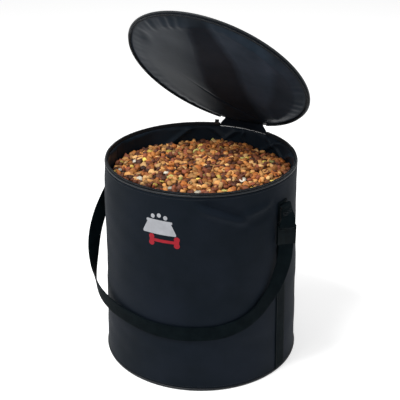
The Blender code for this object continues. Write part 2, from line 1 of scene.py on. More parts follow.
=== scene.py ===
import json
import math

import bmesh
import bpy
import numpy as np
from mathutils import Matrix, Vector


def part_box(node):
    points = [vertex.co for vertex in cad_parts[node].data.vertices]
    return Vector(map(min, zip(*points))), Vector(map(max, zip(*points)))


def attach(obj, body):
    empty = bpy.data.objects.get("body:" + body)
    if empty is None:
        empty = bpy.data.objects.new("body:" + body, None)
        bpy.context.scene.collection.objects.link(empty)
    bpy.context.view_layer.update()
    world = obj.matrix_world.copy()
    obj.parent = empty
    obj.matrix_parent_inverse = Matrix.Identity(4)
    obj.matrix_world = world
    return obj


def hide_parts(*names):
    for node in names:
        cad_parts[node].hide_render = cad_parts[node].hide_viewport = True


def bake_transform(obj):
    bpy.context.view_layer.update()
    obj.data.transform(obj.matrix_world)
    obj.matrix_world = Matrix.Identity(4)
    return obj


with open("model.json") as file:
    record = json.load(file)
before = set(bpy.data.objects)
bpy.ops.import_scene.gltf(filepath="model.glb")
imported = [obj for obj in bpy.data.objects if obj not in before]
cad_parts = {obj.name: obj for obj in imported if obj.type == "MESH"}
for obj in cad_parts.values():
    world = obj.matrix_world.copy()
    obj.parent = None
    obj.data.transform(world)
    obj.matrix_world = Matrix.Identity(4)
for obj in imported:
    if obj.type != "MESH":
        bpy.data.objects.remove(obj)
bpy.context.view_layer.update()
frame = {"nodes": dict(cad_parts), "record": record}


# Studio: a white floor and backdrop, soft window-like lamps from the upper left, and the camera
# at the photograph's angle. The bag's front, -Y, is turned 30 degrees to the camera's left.
CAMERA_PLACE = (0.8566, -1.4836, 1.1176)
CAMERA_PITCH = 65.72
CAMERA_TURN = 30.0
CAMERA_LENS = 84.1
CAMERA_SHIFT = (-0.0028, -0.0255)
FLOOR_SIZE = 14.0
FLOOR_COLOUR = (0.90, 0.90, 0.90)
LAMPS = [
    ((-1.9, -1.5, 2.3), 1.3, 22.0),
    ((2.1, -1.3, 1.7), 1.3, 6.0),
    ((0.7, 1.7, 2.3), 1.6, 14.0),
    ((-0.35, -1.0, 2.6), 0.7, 44.0),
]


def white_to_camera(nodes, links, colour, glow):
    """A pale surface that the camera and reflections see as white, lit and shadowed as usual."""
    path = nodes.new("ShaderNodeLightPath")
    seen = nodes.new("ShaderNodeMath")
    seen.operation = "MAXIMUM"
    links.new(path.outputs["Is Camera Ray"], seen.inputs[0])
    links.new(path.outputs["Is Glossy Ray"], seen.inputs[1])
    strength = nodes.new("ShaderNodeMath")
    strength.operation = "MULTIPLY"
    strength.inputs[1].default_value = glow
    links.new(seen.outputs[0], strength.inputs[0])
    shine = nodes.new("ShaderNodeEmission")
    links.new(strength.outputs[0], shine.inputs["Strength"])
    matt = nodes.new("ShaderNodeBsdfDiffuse")
    matt.inputs["Color"].default_value = (*colour, 1.0)
    both = nodes.new("ShaderNodeAddShader")
    links.new(shine.outputs[0], both.inputs[0])
    links.new(matt.outputs[0], both.inputs[1])
    return both


def build_studio():
    half = FLOOR_SIZE / 2
    mesh = bpy.data.meshes.new("studio_floor")
    corners = [(-half, -half, 0), (half, -half, 0), (half, half, 0), (-half, half, 0)]
    mesh.from_pydata(corners, [], [(0, 1, 2, 3)])
    floor = bpy.data.objects.new("studio_floor", mesh)
    bpy.context.collection.objects.link(floor)
    pale = bpy.data.materials.new("studio_floor")
    pale.use_nodes = True
    nodes, links = pale.node_tree.nodes, pale.node_tree.links
    both = white_to_camera(nodes, links, FLOOR_COLOUR, 0.42)
    links.new(both.outputs[0], nodes["Material Output"].inputs["Surface"])
    mesh.materials.append(pale)
    world = bpy.data.worlds.new("studio")
    bpy.context.scene.world = world
    world.use_nodes = True
    nodes, links = world.node_tree.nodes, world.node_tree.links
    path = nodes.new("ShaderNodeLightPath")
    strength = nodes.new("ShaderNodeMapRange")
    strength.inputs["To Min"].default_value = 0.45
    strength.inputs["To Max"].default_value = 1.0
    links.new(path.outputs["Is Camera Ray"], strength.inputs["Value"])
    sky = nodes["Background"]
    sky.inputs["Color"].default_value = (1, 1, 1, 1)
    links.new(strength.outputs["Result"], sky.inputs["Strength"])
    for number, (place, size, watts) in enumerate(LAMPS):
        lamp = bpy.data.lights.new(f"softbox_{number}", "AREA")
        lamp.size, lamp.energy = size, watts
        holder = bpy.data.objects.new(f"softbox_{number}", lamp)
        holder.location = place
        aim = Vector((0, 0, 0.35)) - Vector(place)
        holder.rotation_euler = aim.to_track_quat("-Z", "Y").to_euler()
        bpy.context.collection.objects.link(holder)
    camera = bpy.data.cameras.new("camera")
    camera.lens, camera.sensor_width = CAMERA_LENS, 36.0
    camera.shift_x, camera.shift_y = CAMERA_SHIFT
    holder = bpy.data.objects.new("camera", camera)
    holder.location = CAMERA_PLACE
    holder.rotation_euler = (math.radians(CAMERA_PITCH), 0, math.radians(CAMERA_TURN))
    bpy.context.collection.objects.link(holder)
    bpy.context.scene.camera = holder
    bpy.context.scene.view_settings.view_transform = "Standard"


build_studio()


# Base: a stiffened disc of the same woven cloth as the wall, sewn to it all round with a
# cord-filled piping in the seam.
BASE_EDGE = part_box("base_panel")[1][0]
BASE_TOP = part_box("base_panel")[1][2]
RING_STEPS = 512
CLOTH_DARK = (0.0027, 0.0061, 0.0106)
CLOTH_LIGHT = (0.0064, 0.0104, 0.0178)
CLOTH_PITCH = 0.0011
PIPING_DARK = (0.0045, 0.0065, 0.0090)
PIPING_LIGHT = (0.0110, 0.0145, 0.0185)


def mesh_piece(name, points, u_closed, v_closed, uv, body, material, caps=(), colour=None):
    """Puts a grid of points, shaped (along, across, 3), into a mesh. A closed direction joins its
    last row to its first. uv holds each row's and column's place along the surface in metres."""
    nu, nv = points.shape[:2]
    mu, mv = (nu if u_closed else nu - 1), (nv if v_closed else nv - 1)
    i, j = np.meshgrid(np.arange(mu), np.arange(mv), indexing="ij")
    i2, j2 = (i + 1) % nu, (j + 1) % nv
    quads = np.stack([i * nv + j, i2 * nv + j, i2 * nv + j2, i * nv + j2], -1).reshape(-1, 4)
    u, v = uv
    corner_u = np.stack([u[i], u[i + 1], u[i + 1], u[i]], -1).reshape(-1)
    corner_v = np.stack([v[j], v[j], v[j + 1], v[j + 1]], -1).reshape(-1)
    faces = [tuple(q) for q in quads.tolist()] + [tuple(c) for c in caps]
    mesh = bpy.data.meshes.new(name)
    mesh.from_pydata(points.reshape(-1, 3).tolist(), [], faces)
    layer = mesh.uv_layers.new(name="cut")
    flat = np.zeros((len(mesh.loops), 2), np.float32)
    flat[:len(corner_u), 0], flat[:len(corner_v), 1] = corner_u, corner_v
    layer.data.foreach_set("uv", flat.ravel())
    if colour is not None:
        tint = mesh.color_attributes.new("tint", "FLOAT_COLOR", "POINT")
        tint.data.foreach_set("color", np.asarray(colour, np.float32).ravel())
    fix = bmesh.new()
    fix.from_mesh(mesh)
    bmesh.ops.recalc_face_normals(fix, faces=fix.faces)
    fix.to_mesh(mesh)
    fix.free()
    mesh.shade_smooth()
    piece = bpy.data.objects.new(name, mesh)
    bpy.context.collection.objects.link(piece)
    mesh.materials.append(material)
    if body:
        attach(piece, body)
    return piece


def run_length(points, closed=False):
    """Distance along a row of points, with one entry more than points where the row closes."""
    rows = np.vstack([points, points[:1]]) if closed else points
    return np.concatenate([[0.0], np.cumsum(np.linalg.norm(np.diff(rows, axis=0), axis=1))])


def turned_ring(name, profile, body, material, span=None, steps=RING_STEPS, place=None, warp=None):
    """A closed (radius, height) profile carried round Z, all the way or over a span of azimuths.
    warp moves each (radius, height) by functions of azimuth, and place moves the finished points."""
    start, end = span or (0.0, 2 * math.pi)
    azimuth = np.linspace(start, end, steps, endpoint=span is not None)
    profile = np.asarray(profile, float)
    radius = np.repeat(profile[None, :, 0], len(azimuth), 0)
    height = np.repeat(profile[None, :, 1], len(azimuth), 0)
    if warp is not None:
        radius, height = warp(azimuth[:, None], radius, height)
    turn = azimuth[:, None]
    points = np.stack([radius * np.sin(turn), -radius * np.cos(turn), height], -1)
    if place is not None:
        points = place(points)
    reach = profile[:, 0].mean()
    u = reach * np.linspace(start, end, steps + (span is None))
    v = run_length(profile, closed=True)
    caps = []
    if span is not None:
        count = len(profile)
        caps = [tuple(range(count)), tuple(range((steps - 1) * count, steps * count))]
    return mesh_piece(name, points, span is None, True, (u, v), body, material, caps)


def rounded_box(inner, outer, low, high, edge, steps=3):
    """A closed profile: a rectangle in (radius, height) with its corners turned at a small radius."""
    turn = np.linspace(0, math.pi / 2, steps + 1)
    corners = [(outer - edge, low + edge, -math.pi / 2), (outer - edge, high - edge, 0),
               (inner + edge, high - edge, math.pi / 2), (inner + edge, low + edge, math.pi)]
    return [(r + edge * math.cos(a + t), z + edge * math.sin(a + t)) for r, z, a in corners for t in turn]


def round_cord(centre, height, radius, sides=14):
    turn = 2 * math.pi * np.arange(sides) / sides
    return np.stack([centre + radius * np.cos(turn), height + radius * np.sin(turn)], -1)


def new_material(name, roughness, specular=0.5, sheen=0.0, coat=0.0):
    """A Principled material, its shader, and functions that add a node and a link to it."""
    material = bpy.data.materials.new(name)
    material.use_nodes = True
    tree = material.node_tree
    shader = tree.nodes["Principled BSDF"]
    shader.inputs["Roughness"].default_value = roughness
    shader.inputs["Specular IOR Level"].default_value = specular
    shader.inputs["Sheen Weight"].default_value = sheen
    shader.inputs["Sheen Roughness"].default_value = 0.5
    shader.inputs["Coat Weight"].default_value = coat
    shader.inputs["Coat Roughness"].default_value = 0.25

    def add(kind, **values):
        node = tree.nodes.new(kind)
        for key, value in values.items():
            if hasattr(node, key):
                setattr(node, key, value)
            else:
                node.inputs[key.replace("_", " ")].default_value = value
        return node

    return material, shader, add, tree.links.new


def maths(add, link, operation, first, second=None):
    """One arithmetic node; first and second are sockets or numbers."""
    node = add("ShaderNodeMath", operation=operation)
    for socket, value in zip(node.inputs, (first, second)):
        if isinstance(value, (int, float)):
            socket.default_value = value
        elif value is not None:
            link(value, socket)
    return node.outputs[0]


def plain_weave(add, link, pitch_u, pitch_v, skew=0.0):
    """Over-and-under threads: |sin u| and |sin v| where the other thread dips, from the cut map."""
    cut = add("ShaderNodeUVMap", uv_map="cut")
    split = add("ShaderNodeSeparateXYZ")
    link(cut.outputs["UV"], split.inputs[0])
    u = maths(add, link, "MULTIPLY", split.outputs[0], math.pi / pitch_u)
    v = maths(add, link, "MULTIPLY", split.outputs[1], math.pi / pitch_v)
    if skew:
        slope = maths(add, link, "MULTIPLY", split.outputs[1], skew * math.pi / pitch_u)
        u = maths(add, link, "ADD", u, slope)
    warp = maths(add, link, "ABSOLUTE", maths(add, link, "SINE", u))
    weft = maths(add, link, "ABSOLUTE", maths(add, link, "SINE", v))
    beat = maths(add, link, "MULTIPLY", maths(add, link, "COSINE", u), maths(add, link, "COSINE", v))
    over = maths(add, link, "ADD", maths(add, link, "MULTIPLY", beat, 0.35), 0.5)
    height = maths(add, link, "MAXIMUM", maths(add, link, "MULTIPLY", warp, over),
                   maths(add, link, "MULTIPLY", weft, maths(add, link, "SUBTRACT", 1.0, over)))
    return height


def cloudy_mix(add, link, scale, dark, light, detail=4.0):
    """A slow change between two colours over the cloth, from noise in object space."""
    where = add("ShaderNodeTexCoord")
    noise = add("ShaderNodeTexNoise", Scale=scale, Detail=detail, Roughness=0.6)
    link(where.outputs["Object"], noise.inputs["Vector"])
    ramp = add("ShaderNodeValToRGB")
    ramp.color_ramp.elements[0].position, ramp.color_ramp.elements[1].position = 0.34, 0.68
    ramp.color_ramp.elements[0].color = (*dark, 1)
    ramp.color_ramp.elements[1].color = (*light, 1)
    link(noise.outputs["Fac"], ramp.inputs["Fac"])
    return ramp.outputs["Color"], noise.outputs["Fac"]


def add_bump(add, link, shader, height, strength, distance, below=None):
    bump = add("ShaderNodeBump", Strength=strength, Distance=distance)
    link(height, bump.inputs["Height"])
    if below is not None:
        link(below, bump.inputs["Normal"])
    link(bump.outputs["Normal"], shader.inputs["Normal"])
    return bump.outputs["Normal"]


def woven_cloth():
    material, shader, add, link = new_material("woven_polyester", 0.70, 0.09, 0.004)
    colour, cloud = cloudy_mix(add, link, 9.0, CLOTH_DARK, CLOTH_LIGHT)
    threads = plain_weave(add, link, CLOTH_PITCH, CLOTH_PITCH)
    mix = add("ShaderNodeMix", data_type="RGBA", blend_type="MULTIPLY")
    mix.inputs["Factor"].default_value = 0.55
    link(colour, mix.inputs["A"])
    tone = add("ShaderNodeMapRange", To_Min=0.75, To_Max=1.3)
    link(threads, tone.inputs["Value"])
    link(tone.outputs["Result"], mix.inputs["B"])
    link(mix.outputs["Result"], shader.inputs["Base Color"])
    soft = add_bump(add, link, shader, cloud, 0.25, 0.0012)
    add_bump(add, link, shader, threads, 0.35, 0.00022, soft)
    return material


def piping_cloth():
    """Bias-cut satin binding pulled round a cord: fine slanting ribs and a soft shine."""
    material, shader, add, link = new_material("piping_satin", 0.42, 0.30, 0.01)
    colour = cloudy_mix(add, link, 30.0, PIPING_DARK, PIPING_LIGHT)[0]
    link(colour, shader.inputs["Base Color"])
    add_bump(add, link, shader, plain_weave(add, link, 0.0009, 0.0009, 1.0), 0.3, 0.0002)
    return material


woven = woven_cloth()
satin = piping_cloth()


def around(radius, azimuth, height):
    """Points by radius, azimuth from the front towards +X, and height, as one array."""
    radius, azimuth, height = np.broadcast_arrays(radius, azimuth, height)
    return np.stack([radius * np.sin(azimuth), -radius * np.cos(azimuth), height], -1)


def build_base():
    """The panel's profile runs from the middle out over its upper side and back below."""
    edge, top = BASE_EDGE, BASE_TOP
    radii = np.concatenate([np.linspace(0.004, edge - 0.001, 24), [edge - 0.0003, edge, edge - 0.0003]])
    heights = np.concatenate([np.full(24, top), [top - 0.0003, top / 2, 0.0003]])
    under_r = np.linspace(edge - 0.001, 0.004, 24)
    profile = np.stack([np.concatenate([radii, under_r]), np.concatenate([heights, np.zeros(24)])], -1)
    azimuth = 2 * math.pi * np.arange(RING_STEPS) / RING_STEPS
    points = around(profile[:, 0], azimuth[:, None], profile[:, 1])
    u = edge * np.linspace(0, 2 * math.pi, RING_STEPS + 1)
    count = len(profile)
    caps = [tuple(range(0, RING_STEPS * count, count)), tuple(range(count - 1, RING_STEPS * count, count))]
    panel = mesh_piece("base_cloth", points, True, False, (u, run_length(profile)), "bag",
                       woven, caps)
    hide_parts("base_panel")
    low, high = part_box("base_piping")
    radius = (high[2] - low[2]) / 2 / 0.87
    section = round_cord(high[0] - radius, low[2] + 0.87 * radius, radius * 0.98)
    cord = turned_ring("base_cord_piping", section, "bag", satin)
    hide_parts("base_piping")


build_base()


# Side wall: two layers of woven polyester over thin foam, sewn into a tube that tapers to the
# rim. It is soft, so it sags between its seams and creases where the strap pulls on it.
WALL_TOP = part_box("side_wall")[1][2]
SEAM_AZIMUTH = math.radians(83.4)
CLOTH_GAP = 0.0003
WALL_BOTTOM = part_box("side_wall")[0][2]
WALL_THICKNESS = 0.005
RIM_RADIUS = 0.190
BASE_RADIUS = 0.1985
WALL_STEPS = 640


def taper(z):
    """Outer radius of the plain wall: a straight line from the base up to the rim."""
    return BASE_RADIUS + (RIM_RADIUS - BASE_RADIUS) * np.minimum(z, WALL_TOP) / WALL_TOP


def ease(value, low, high):
    """0 below low, 1 above high, and a smooth step between."""
    t = np.clip((value - low) / (high - low), 0.0, 1.0)
    return t * t * (3 - 2 * t)


def bell(value, width):
    return np.exp(-(value / width) ** 2)


def near_turn(azimuth, centre):
    """Signed difference of two azimuths, within half a turn."""
    return (azimuth - centre + math.pi) % (2 * math.pi) - math.pi


def sag(azimuth, z):
    """How far the wall stands out of its taper. Broad soft dents run over all of it, one long
    crease dips from upper centre to the right, and a ridge above it runs to the buckle's anchor."""
    a = near_turn(azimuth, 0.0)
    up = z / WALL_TOP
    free = ease(up, 0.02, 0.16) * (1 - ease(up, 0.90, 0.995))
    band = ease(np.abs(z - 0.135), 0.018, 0.05)
    dents = 0.0010 * np.sin(3 * a + 5 * up) + 0.0008 * np.sin(5 * a - 9 * up + 1.3)
    dents += 0.00035 * np.sin(11 * a + 23 * up + 0.7) * np.sin(3 * a - 31 * up)
    hollow = -0.0014 * bell(z - 0.20, 0.045) * bell(a - 0.5, 0.5)
    side = bell(np.abs(a) - SEAM_AZIMUTH, 0.13)
    below = z - 0.401 + 0.078 * (a - 0.53)
    reach = ease(a, 0.44, 0.62) * (1 - ease(a, 0.90, 1.04))
    valley = np.where(below > 0, bell(below, 0.016), bell(below, 0.0045))
    fold = reach * (-0.0070 * valley + 0.0056 * bell(below + 0.0115, 0.0070))
    crest = z - 0.371 - 0.034 * (a - 0.96)
    strain = ease(a, 0.82, 1.04) * (1 - ease(a, 1.20, 1.33))
    ridge = strain * (0.0050 * bell(crest, 0.0075) - 0.0030 * bell(crest + 0.019, 0.011))
    pinch = ease(up, 0.5, 0.7) * (1 - ease(z, 0.405, 0.4125))
    return free * band * (dents + hollow) * (1 - side) + pinch * (fold + ridge)


def build_wall():
    heights = np.concatenate([[WALL_BOTTOM], np.linspace(WALL_BOTTOM + 0.0008, WALL_TOP - 0.0012, 118)])
    outer = np.stack([taper(heights), heights], -1)
    outer[0, 0] -= 0.0006
    lip_turn = np.linspace(0.2, math.pi - 0.2, 6)
    lip_radius = WALL_THICKNESS / 2
    lip = np.stack([RIM_RADIUS - lip_radius + lip_radius * np.cos(lip_turn),
                    WALL_TOP - 0.0012 + 0.0012 * np.sin(lip_turn)], -1)
    inner_z = np.linspace(WALL_TOP - 0.0012, WALL_BOTTOM, 6)
    inner = np.stack([taper(inner_z) - WALL_THICKNESS, inner_z], -1)
    profile = np.vstack([outer, lip, inner])

    def soften(azimuth, radius, height):
        on_outer = radius > taper(height) - WALL_THICKNESS / 2
        return radius + np.where(on_outer, sag(azimuth, height), 0.0), height

    wall = turned_ring("wall_cloth", profile, "bag", woven, steps=WALL_STEPS, warp=soften)
    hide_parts("side_wall")


build_wall()


# Stitching: lock stitches in a slightly lighter thread, sunk into the cloth at each end.
THREAD_COLOUR = (0.014, 0.017, 0.022)
STITCH_LENGTH = 0.0026
STITCH_PITCH = 0.0036
THREAD_RADIUS = 0.00028


def shades(colour, dark, light):
    """The colour made darker and made lighter, by the two factors."""
    return tuple(dark * c for c in colour), tuple(light * c for c in colour)


def thread_material():
    material, shader, add, link = new_material("sewing_thread", 0.6, 0.4)
    colour = cloudy_mix(add, link, 400.0, *shades(THREAD_COLOUR, 0.8, 1.25))[0]
    link(colour, shader.inputs["Base Color"])
    return material


thread = thread_material()


def stitches(name, middles, directions, outs, body, length=STITCH_LENGTH, radius=THREAD_RADIUS):
    """One short six-sided stitch at each middle, lying along its direction, arched over outs."""
    along = np.linspace(-0.5, 0.5, 4)
    arch = 0.9 * (1 - (2 * along) ** 2)
    size = np.array([0.35, 1.0, 1.0, 0.35])
    turn = 2 * math.pi * np.arange(6) / 6
    side = np.cross(directions, outs)
    spine = (middles[:, None] + directions[:, None] * along[None, :, None] * length
             + outs[:, None] * (arch[None, :, None] - 0.3) * radius)
    ring = (side[:, None, None] * np.cos(turn)[None, None, :, None]
            + outs[:, None, None] * np.sin(turn)[None, None, :, None]) * radius * size[None, :, None, None]
    points = spine[:, :, None] + ring
    count = len(middles)
    index = np.arange(count * 24).reshape(count, 4, 6)
    after = np.roll(index, -1, axis=2)
    quads = np.stack([index[:, :-1], after[:, :-1], after[:, 1:], index[:, 1:]], -1).reshape(-1, 4)
    ends = [tuple(row) for row in index[:, 0, ::-1].tolist()] + [tuple(row) for row in index[:, -1].tolist()]
    mesh = bpy.data.meshes.new(name)
    mesh.from_pydata(points.reshape(-1, 3).tolist(), [], [tuple(q) for q in quads.tolist()] + ends)
    fix = bmesh.new()
    fix.from_mesh(mesh)
    bmesh.ops.recalc_face_normals(fix, faces=fix.faces)
    fix.to_mesh(mesh)
    fix.free()
    mesh.shade_smooth()
    mesh.materials.append(thread)
    piece = bpy.data.objects.new(name, mesh)
    bpy.context.collection.objects.link(piece)
    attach(piece, body)
    return piece


def ring_stitches(name, radius, height, body, span=None, place=None):
    """A row of stitches round the bag at one radius and height; the radius may be a function of azimuth."""
    start, end = span or (0.0, 2 * math.pi)
    count = int((end - start) * 0.19 / STITCH_PITCH)
    azimuth = start + (np.arange(count) + 0.5) * (end - start) / count
    r = radius(azimuth) if callable(radius) else np.full(count, radius)
    z = np.full(count, height)
    middles = np.stack([r * np.sin(azimuth), -r * np.cos(azimuth), z], -1)
    directions = np.stack([np.cos(azimuth), np.sin(azimuth), 0 * azimuth], -1)
    outs = np.stack([np.sin(azimuth), -np.cos(azimuth), 0 * azimuth], -1)
    if place is not None:
        middles, directions, outs = place(middles), place(directions, True), place(outs, True)
    return stitches(name, middles, directions, outs, body)


for sewn_edge, sewn_height in (("wall", WALL_TOP - 0.0045), ("base", WALL_BOTTOM + 0.004)):
    ring_stitches(f"{sewn_edge}_topstitch", lambda a: taper(sewn_height) + sag(a, sewn_height),
                  sewn_height, "bag")


# Front print: a plain bowl and a bone bar in heat-set film, generic shapes in light grey and red,
# in the place where the bag carries a print.
PRINT_AZIMUTH = 7.0
PRINT_HEIGHT = 0.347
PRINT_THICKNESS = 0.00025
PRINT_GREY = (0.42, 0.43, 0.46)
PRINT_RED = (0.36, 0.006, 0.018)


def film_material(name, colour):
    material, shader, add, link = new_material(name, 0.55, 0.25)
    tint, cloud = cloudy_mix(add, link, 60.0, tuple(0.86 * c for c in colour), colour)
    link(tint, shader.inputs["Base Color"])
    add_bump(add, link, shader, cloud, 0.15, 0.0003)
    return material


def bowl_outline():
    """A pet's bowl seen from the side: a lip, and sides that widen to a broad foot."""
    lip = [(-0.0265, 0.0125), (-0.0255, 0.0140), (0.0255, 0.0140), (0.0265, 0.0125)]
    right = [(0.0265, 0.0100), (0.0245, 0.0085), (0.0335, -0.0105), (0.0335, -0.0135), (0.0325, -0.0145)]
    return lip + right + [(-x, y) for x, y in right[::-1]]


def dot_outline(across, up, radius=0.0042):
    turn = 2 * math.pi * np.arange(16) / 16
    return [(across + radius * math.cos(t), up + radius * math.sin(t)) for t in turn]


def bone_outline(length=0.050, shaft=0.0034, knob=0.0056):
    """A bar with two round knobs at each end, as arcs that meet the shaft's edges."""
    turn = np.linspace(math.radians(-40), math.radians(215), 13)
    upper = [(length / 2 + knob * math.cos(t), shaft + knob * 0.5 + knob * math.sin(t)) for t in turn]
    right = [(x, -y) for x, y in upper[::-1]] + upper
    return right + [(-x, -y) for x, y in right]


def print_piece(name, outline, centre_azimuth, centre_height, material):
    """A thin film laid on the wall: the outline is filled, cut fine, and wrapped round the taper."""
    flat = bmesh.new()
    face = flat.faces.new([flat.verts.new((x, y, 0)) for x, y in outline])
    face.normal_update()
    bmesh.ops.triangulate(flat, faces=[face])
    bmesh.ops.subdivide_edges(flat, edges=[e for e in flat.edges if e.calc_length() > 0.004], cuts=3,
                              use_grid_fill=True)
    bmesh.ops.triangulate(flat, faces=flat.faces)
    lifted = bmesh.ops.extrude_face_region(flat, geom=flat.faces[:])["geom"]
    for vert in [v for v in lifted if isinstance(v, bmesh.types.BMVert)]:
        vert.co.z = 1.0
    for vert in flat.verts:
        z = centre_height + vert.co.y
        azimuth = math.radians(centre_azimuth) + vert.co.x / RIM_RADIUS
        radius = float(taper(z) + sag(np.array(azimuth), z)) + 0.00006 + PRINT_THICKNESS * vert.co.z
        vert.co = (radius * math.sin(azimuth), -radius * math.cos(azimuth), z)
    bmesh.ops.recalc_face_normals(flat, faces=flat.faces)
    mesh = bpy.data.meshes.new(name)
    flat.to_mesh(mesh)
    flat.free()
    mesh.materials.append(material)
    piece = bpy.data.objects.new(name, mesh)
    bpy.context.collection.objects.link(piece)
    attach(piece, "bag")


grey_film = film_material("print_film_grey", PRINT_GREY)
red_film = film_material("print_film_red", PRINT_RED)
print_piece("print_bowl", bowl_outline(), PRINT_AZIMUTH - 1.0, PRINT_HEIGHT + 0.001, grey_film)
for number, (across, up) in enumerate(((-0.013, 0.0205), (0.0, 0.0235), (0.013, 0.0205))):
    print_piece(f"print_dot_{number}", dot_outline(across, up), PRINT_AZIMUTH - 1.0,
                PRINT_HEIGHT + 0.001, grey_film)
print_piece("print_bone", bone_outline(), PRINT_AZIMUTH + 2.0, PRINT_HEIGHT - 0.026, red_film)


# Seam strips: ribbed webbing sewn flat down both side seams, over the join of the two wall halves.
WEBBING_DARK = (0.0012, 0.0034, 0.0048)
WEBBING_LIGHT = (0.0032, 0.0068, 0.0086)
RIB_PITCH = 0.0021
STRIP_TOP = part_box("right_seam_strip")[1][2]
STRIP_THICKNESS = 0.0014
WEBBING_WIDTH = 0.030


def webbing_material():
    """Narrow webbing: rows of slanting ribs across, packed close, with darker furrows."""
    material, shader, add, link = new_material("ribbed_webbing", 0.66, 0.03, 0.0)
    colour = cloudy_mix(add, link, 45.0, WEBBING_DARK, WEBBING_LIGHT)[0]
    ribs = plain_weave(add, link, RIB_PITCH, 0.0016, 0.5)
    tone = add("ShaderNodeMapRange", To_Min=0.55, To_Max=1.45)
    link(ribs, tone.inputs["Value"])
    mix = add("ShaderNodeMix", data_type="RGBA", blend_type="MULTIPLY")
    mix.inputs["Factor"].default_value = 0.8
    link(colour, mix.inputs["A"])
    link(tone.outputs["Result"], mix.inputs["B"])
    link(mix.outputs["Result"], shader.inputs["Base Color"])
    add_bump(add, link, shader, ribs, 0.6, 0.0005)
    return material


webbing = webbing_material()


def flat_oval(half_width, half_thickness, edge_steps=5, flat_steps=8):
    """A closed section (across, out) of woven tape: flat faces and round selvedges."""
    turn = np.linspace(-math.pi / 2, math.pi / 2, edge_steps)
    flat = half_width - half_thickness
    right = np.stack([flat + half_thickness * np.cos(turn), half_thickness * np.sin(turn)], -1)
    top = np.stack([np.linspace(flat, -flat, flat_steps)[1:-1], np.full(flat_steps - 2, half_thickness)], -1)
    return np.vstack([right, top, -right, -top])


def build_seam_strips():
    section = flat_oval(WEBBING_WIDTH / 2, STRIP_THICKNESS / 2)
    z = np.linspace(WALL_BOTTOM + CLOTH_GAP, STRIP_TOP, 60)
    for hand, side in (("right", 1), ("left", -1)):
        name, node = f"{hand}_seam_webbing", f"{hand}_seam_strip"
        azimuth = side * SEAM_AZIMUTH + section[None, :, 0] / RIM_RADIUS
        radius = taper(z)[:, None] + CLOTH_GAP + STRIP_THICKNESS / 2 + section[None, :, 1]
        points = around(radius, azimuth, z[:, None])
        count = len(section)
        caps = [tuple(range(count)), tuple(range((len(z) - 1) * count, len(z) * count))]
        strip = mesh_piece(name, points, False, True, (z, run_length(section, True)), "bag",
                           webbing, caps)
        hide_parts(node)
        rows = np.arange(0.012, STRIP_TOP - 0.004, STITCH_PITCH)
        for edge, across in (("front", -0.0125), ("back", 0.0125)):
            a = np.full(len(rows), side * SEAM_AZIMUTH + across / RIM_RADIUS)
            outs = around(1.0, a, 0.0)
            middles = around(taper(rows) + CLOTH_GAP + STRIP_THICKNESS, a, rows)
            ups = np.repeat([[0.0, 0.0, 1.0]], len(rows), 0)
            stitches(f"{name}_{edge}_stitch", middles, ups, outs, "bag")


build_seam_strips()


# Inner lining: thin coated cloth, shiny and wipe-clean, hung inside the wall like a cup. It is a
# little too big for the wall, so it buckles in soft folds above the food.
LINING_DARK = (0.0072, 0.0128, 0.0195)
LINING_LIGHT = (0.0150, 0.0210, 0.0305)
LINING_THICKNESS = 0.001
LINING_SEAT = WALL_THICKNESS + CLOTH_GAP
LINING_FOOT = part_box("inner_lining")[0][2]
FREE_LINING = 0.335


def lining_material():
    """Coated cloth: a shiny skin over fine cloth, crinkled at two scales."""
    material, shader, add, link = new_material("coated_lining", 0.42, 0.080)
    colour = cloudy_mix(add, link, 14.0, LINING_DARK, LINING_LIGHT)[0]
    # The vertex tint multiplies the colour: on the lid's lining it holds painted light and shade, on the cup
    # it is even.
    tint = add("ShaderNodeVertexColor", layer_name="tint")
    mix = add("ShaderNodeMix", data_type="RGBA", blend_type="MULTIPLY")
    mix.inputs["Factor"].default_value = 1.0
    link(colour, mix.inputs["A"])
    link(tint.outputs["Color"], mix.inputs["B"])
    link(mix.outputs["Result"], shader.inputs["Base Color"])
    where = add("ShaderNodeTexCoord")
    crinkle = add("ShaderNodeTexNoise", Scale=42.0, Detail=3.0, Distortion=1.6)
    link(where.outputs["Object"], crinkle.inputs["Vector"])
    broad = add_bump(add, link, shader, crinkle.outputs["Fac"], 0.14, 0.0012)
    add_bump(add, link, shader, plain_weave(add, link, 0.0008, 0.0008), 0.10, 0.0001, broad)
    return material


coated = lining_material()


def lining_fold(azimuth, z):
    """How far the lining stands in from the wall: upright soft folds of uneven width, a few
    slanting creases at the back, and one narrow pleat by the zip's end."""
    a = near_turn(azimuth, math.pi)
    free = ease(z, FREE_LINING, FREE_LINING + 0.03) * (1 - ease(z, WALL_TOP - 0.005, WALL_TOP))
    uneven = a + 0.10 * np.sin(3 * a + 1.0) + 0.05 * np.sin(7 * a)
    soft = 0.5 + 0.5 * np.sin(11 * uneven + 25 * (z - WALL_TOP))
    fine = 0.5 + 0.5 * np.sin(31 * uneven - 40 * (z - WALL_TOP) + 2.0)
    drop = WALL_TOP - z
    slants = [(-0.95, 9.0, 0.05), (-0.55, 8.0, 0.05), (-0.34, -9.0, 0.04), (0.06, 7.0, 0.035),
              (0.42, -7.0, 0.045), (0.62, 8.0, 0.05)]
    slant = sum(np.abs(bell(a - middle - lean * drop, width)) for middle, lean, width in slants)
    pleat = bell(a - 0.015 * np.sin(z * 240), 0.011)
    return free * (0.0026 * soft + 0.0007 * fine + 0.0052 * slant + 0.0056 * pleat)


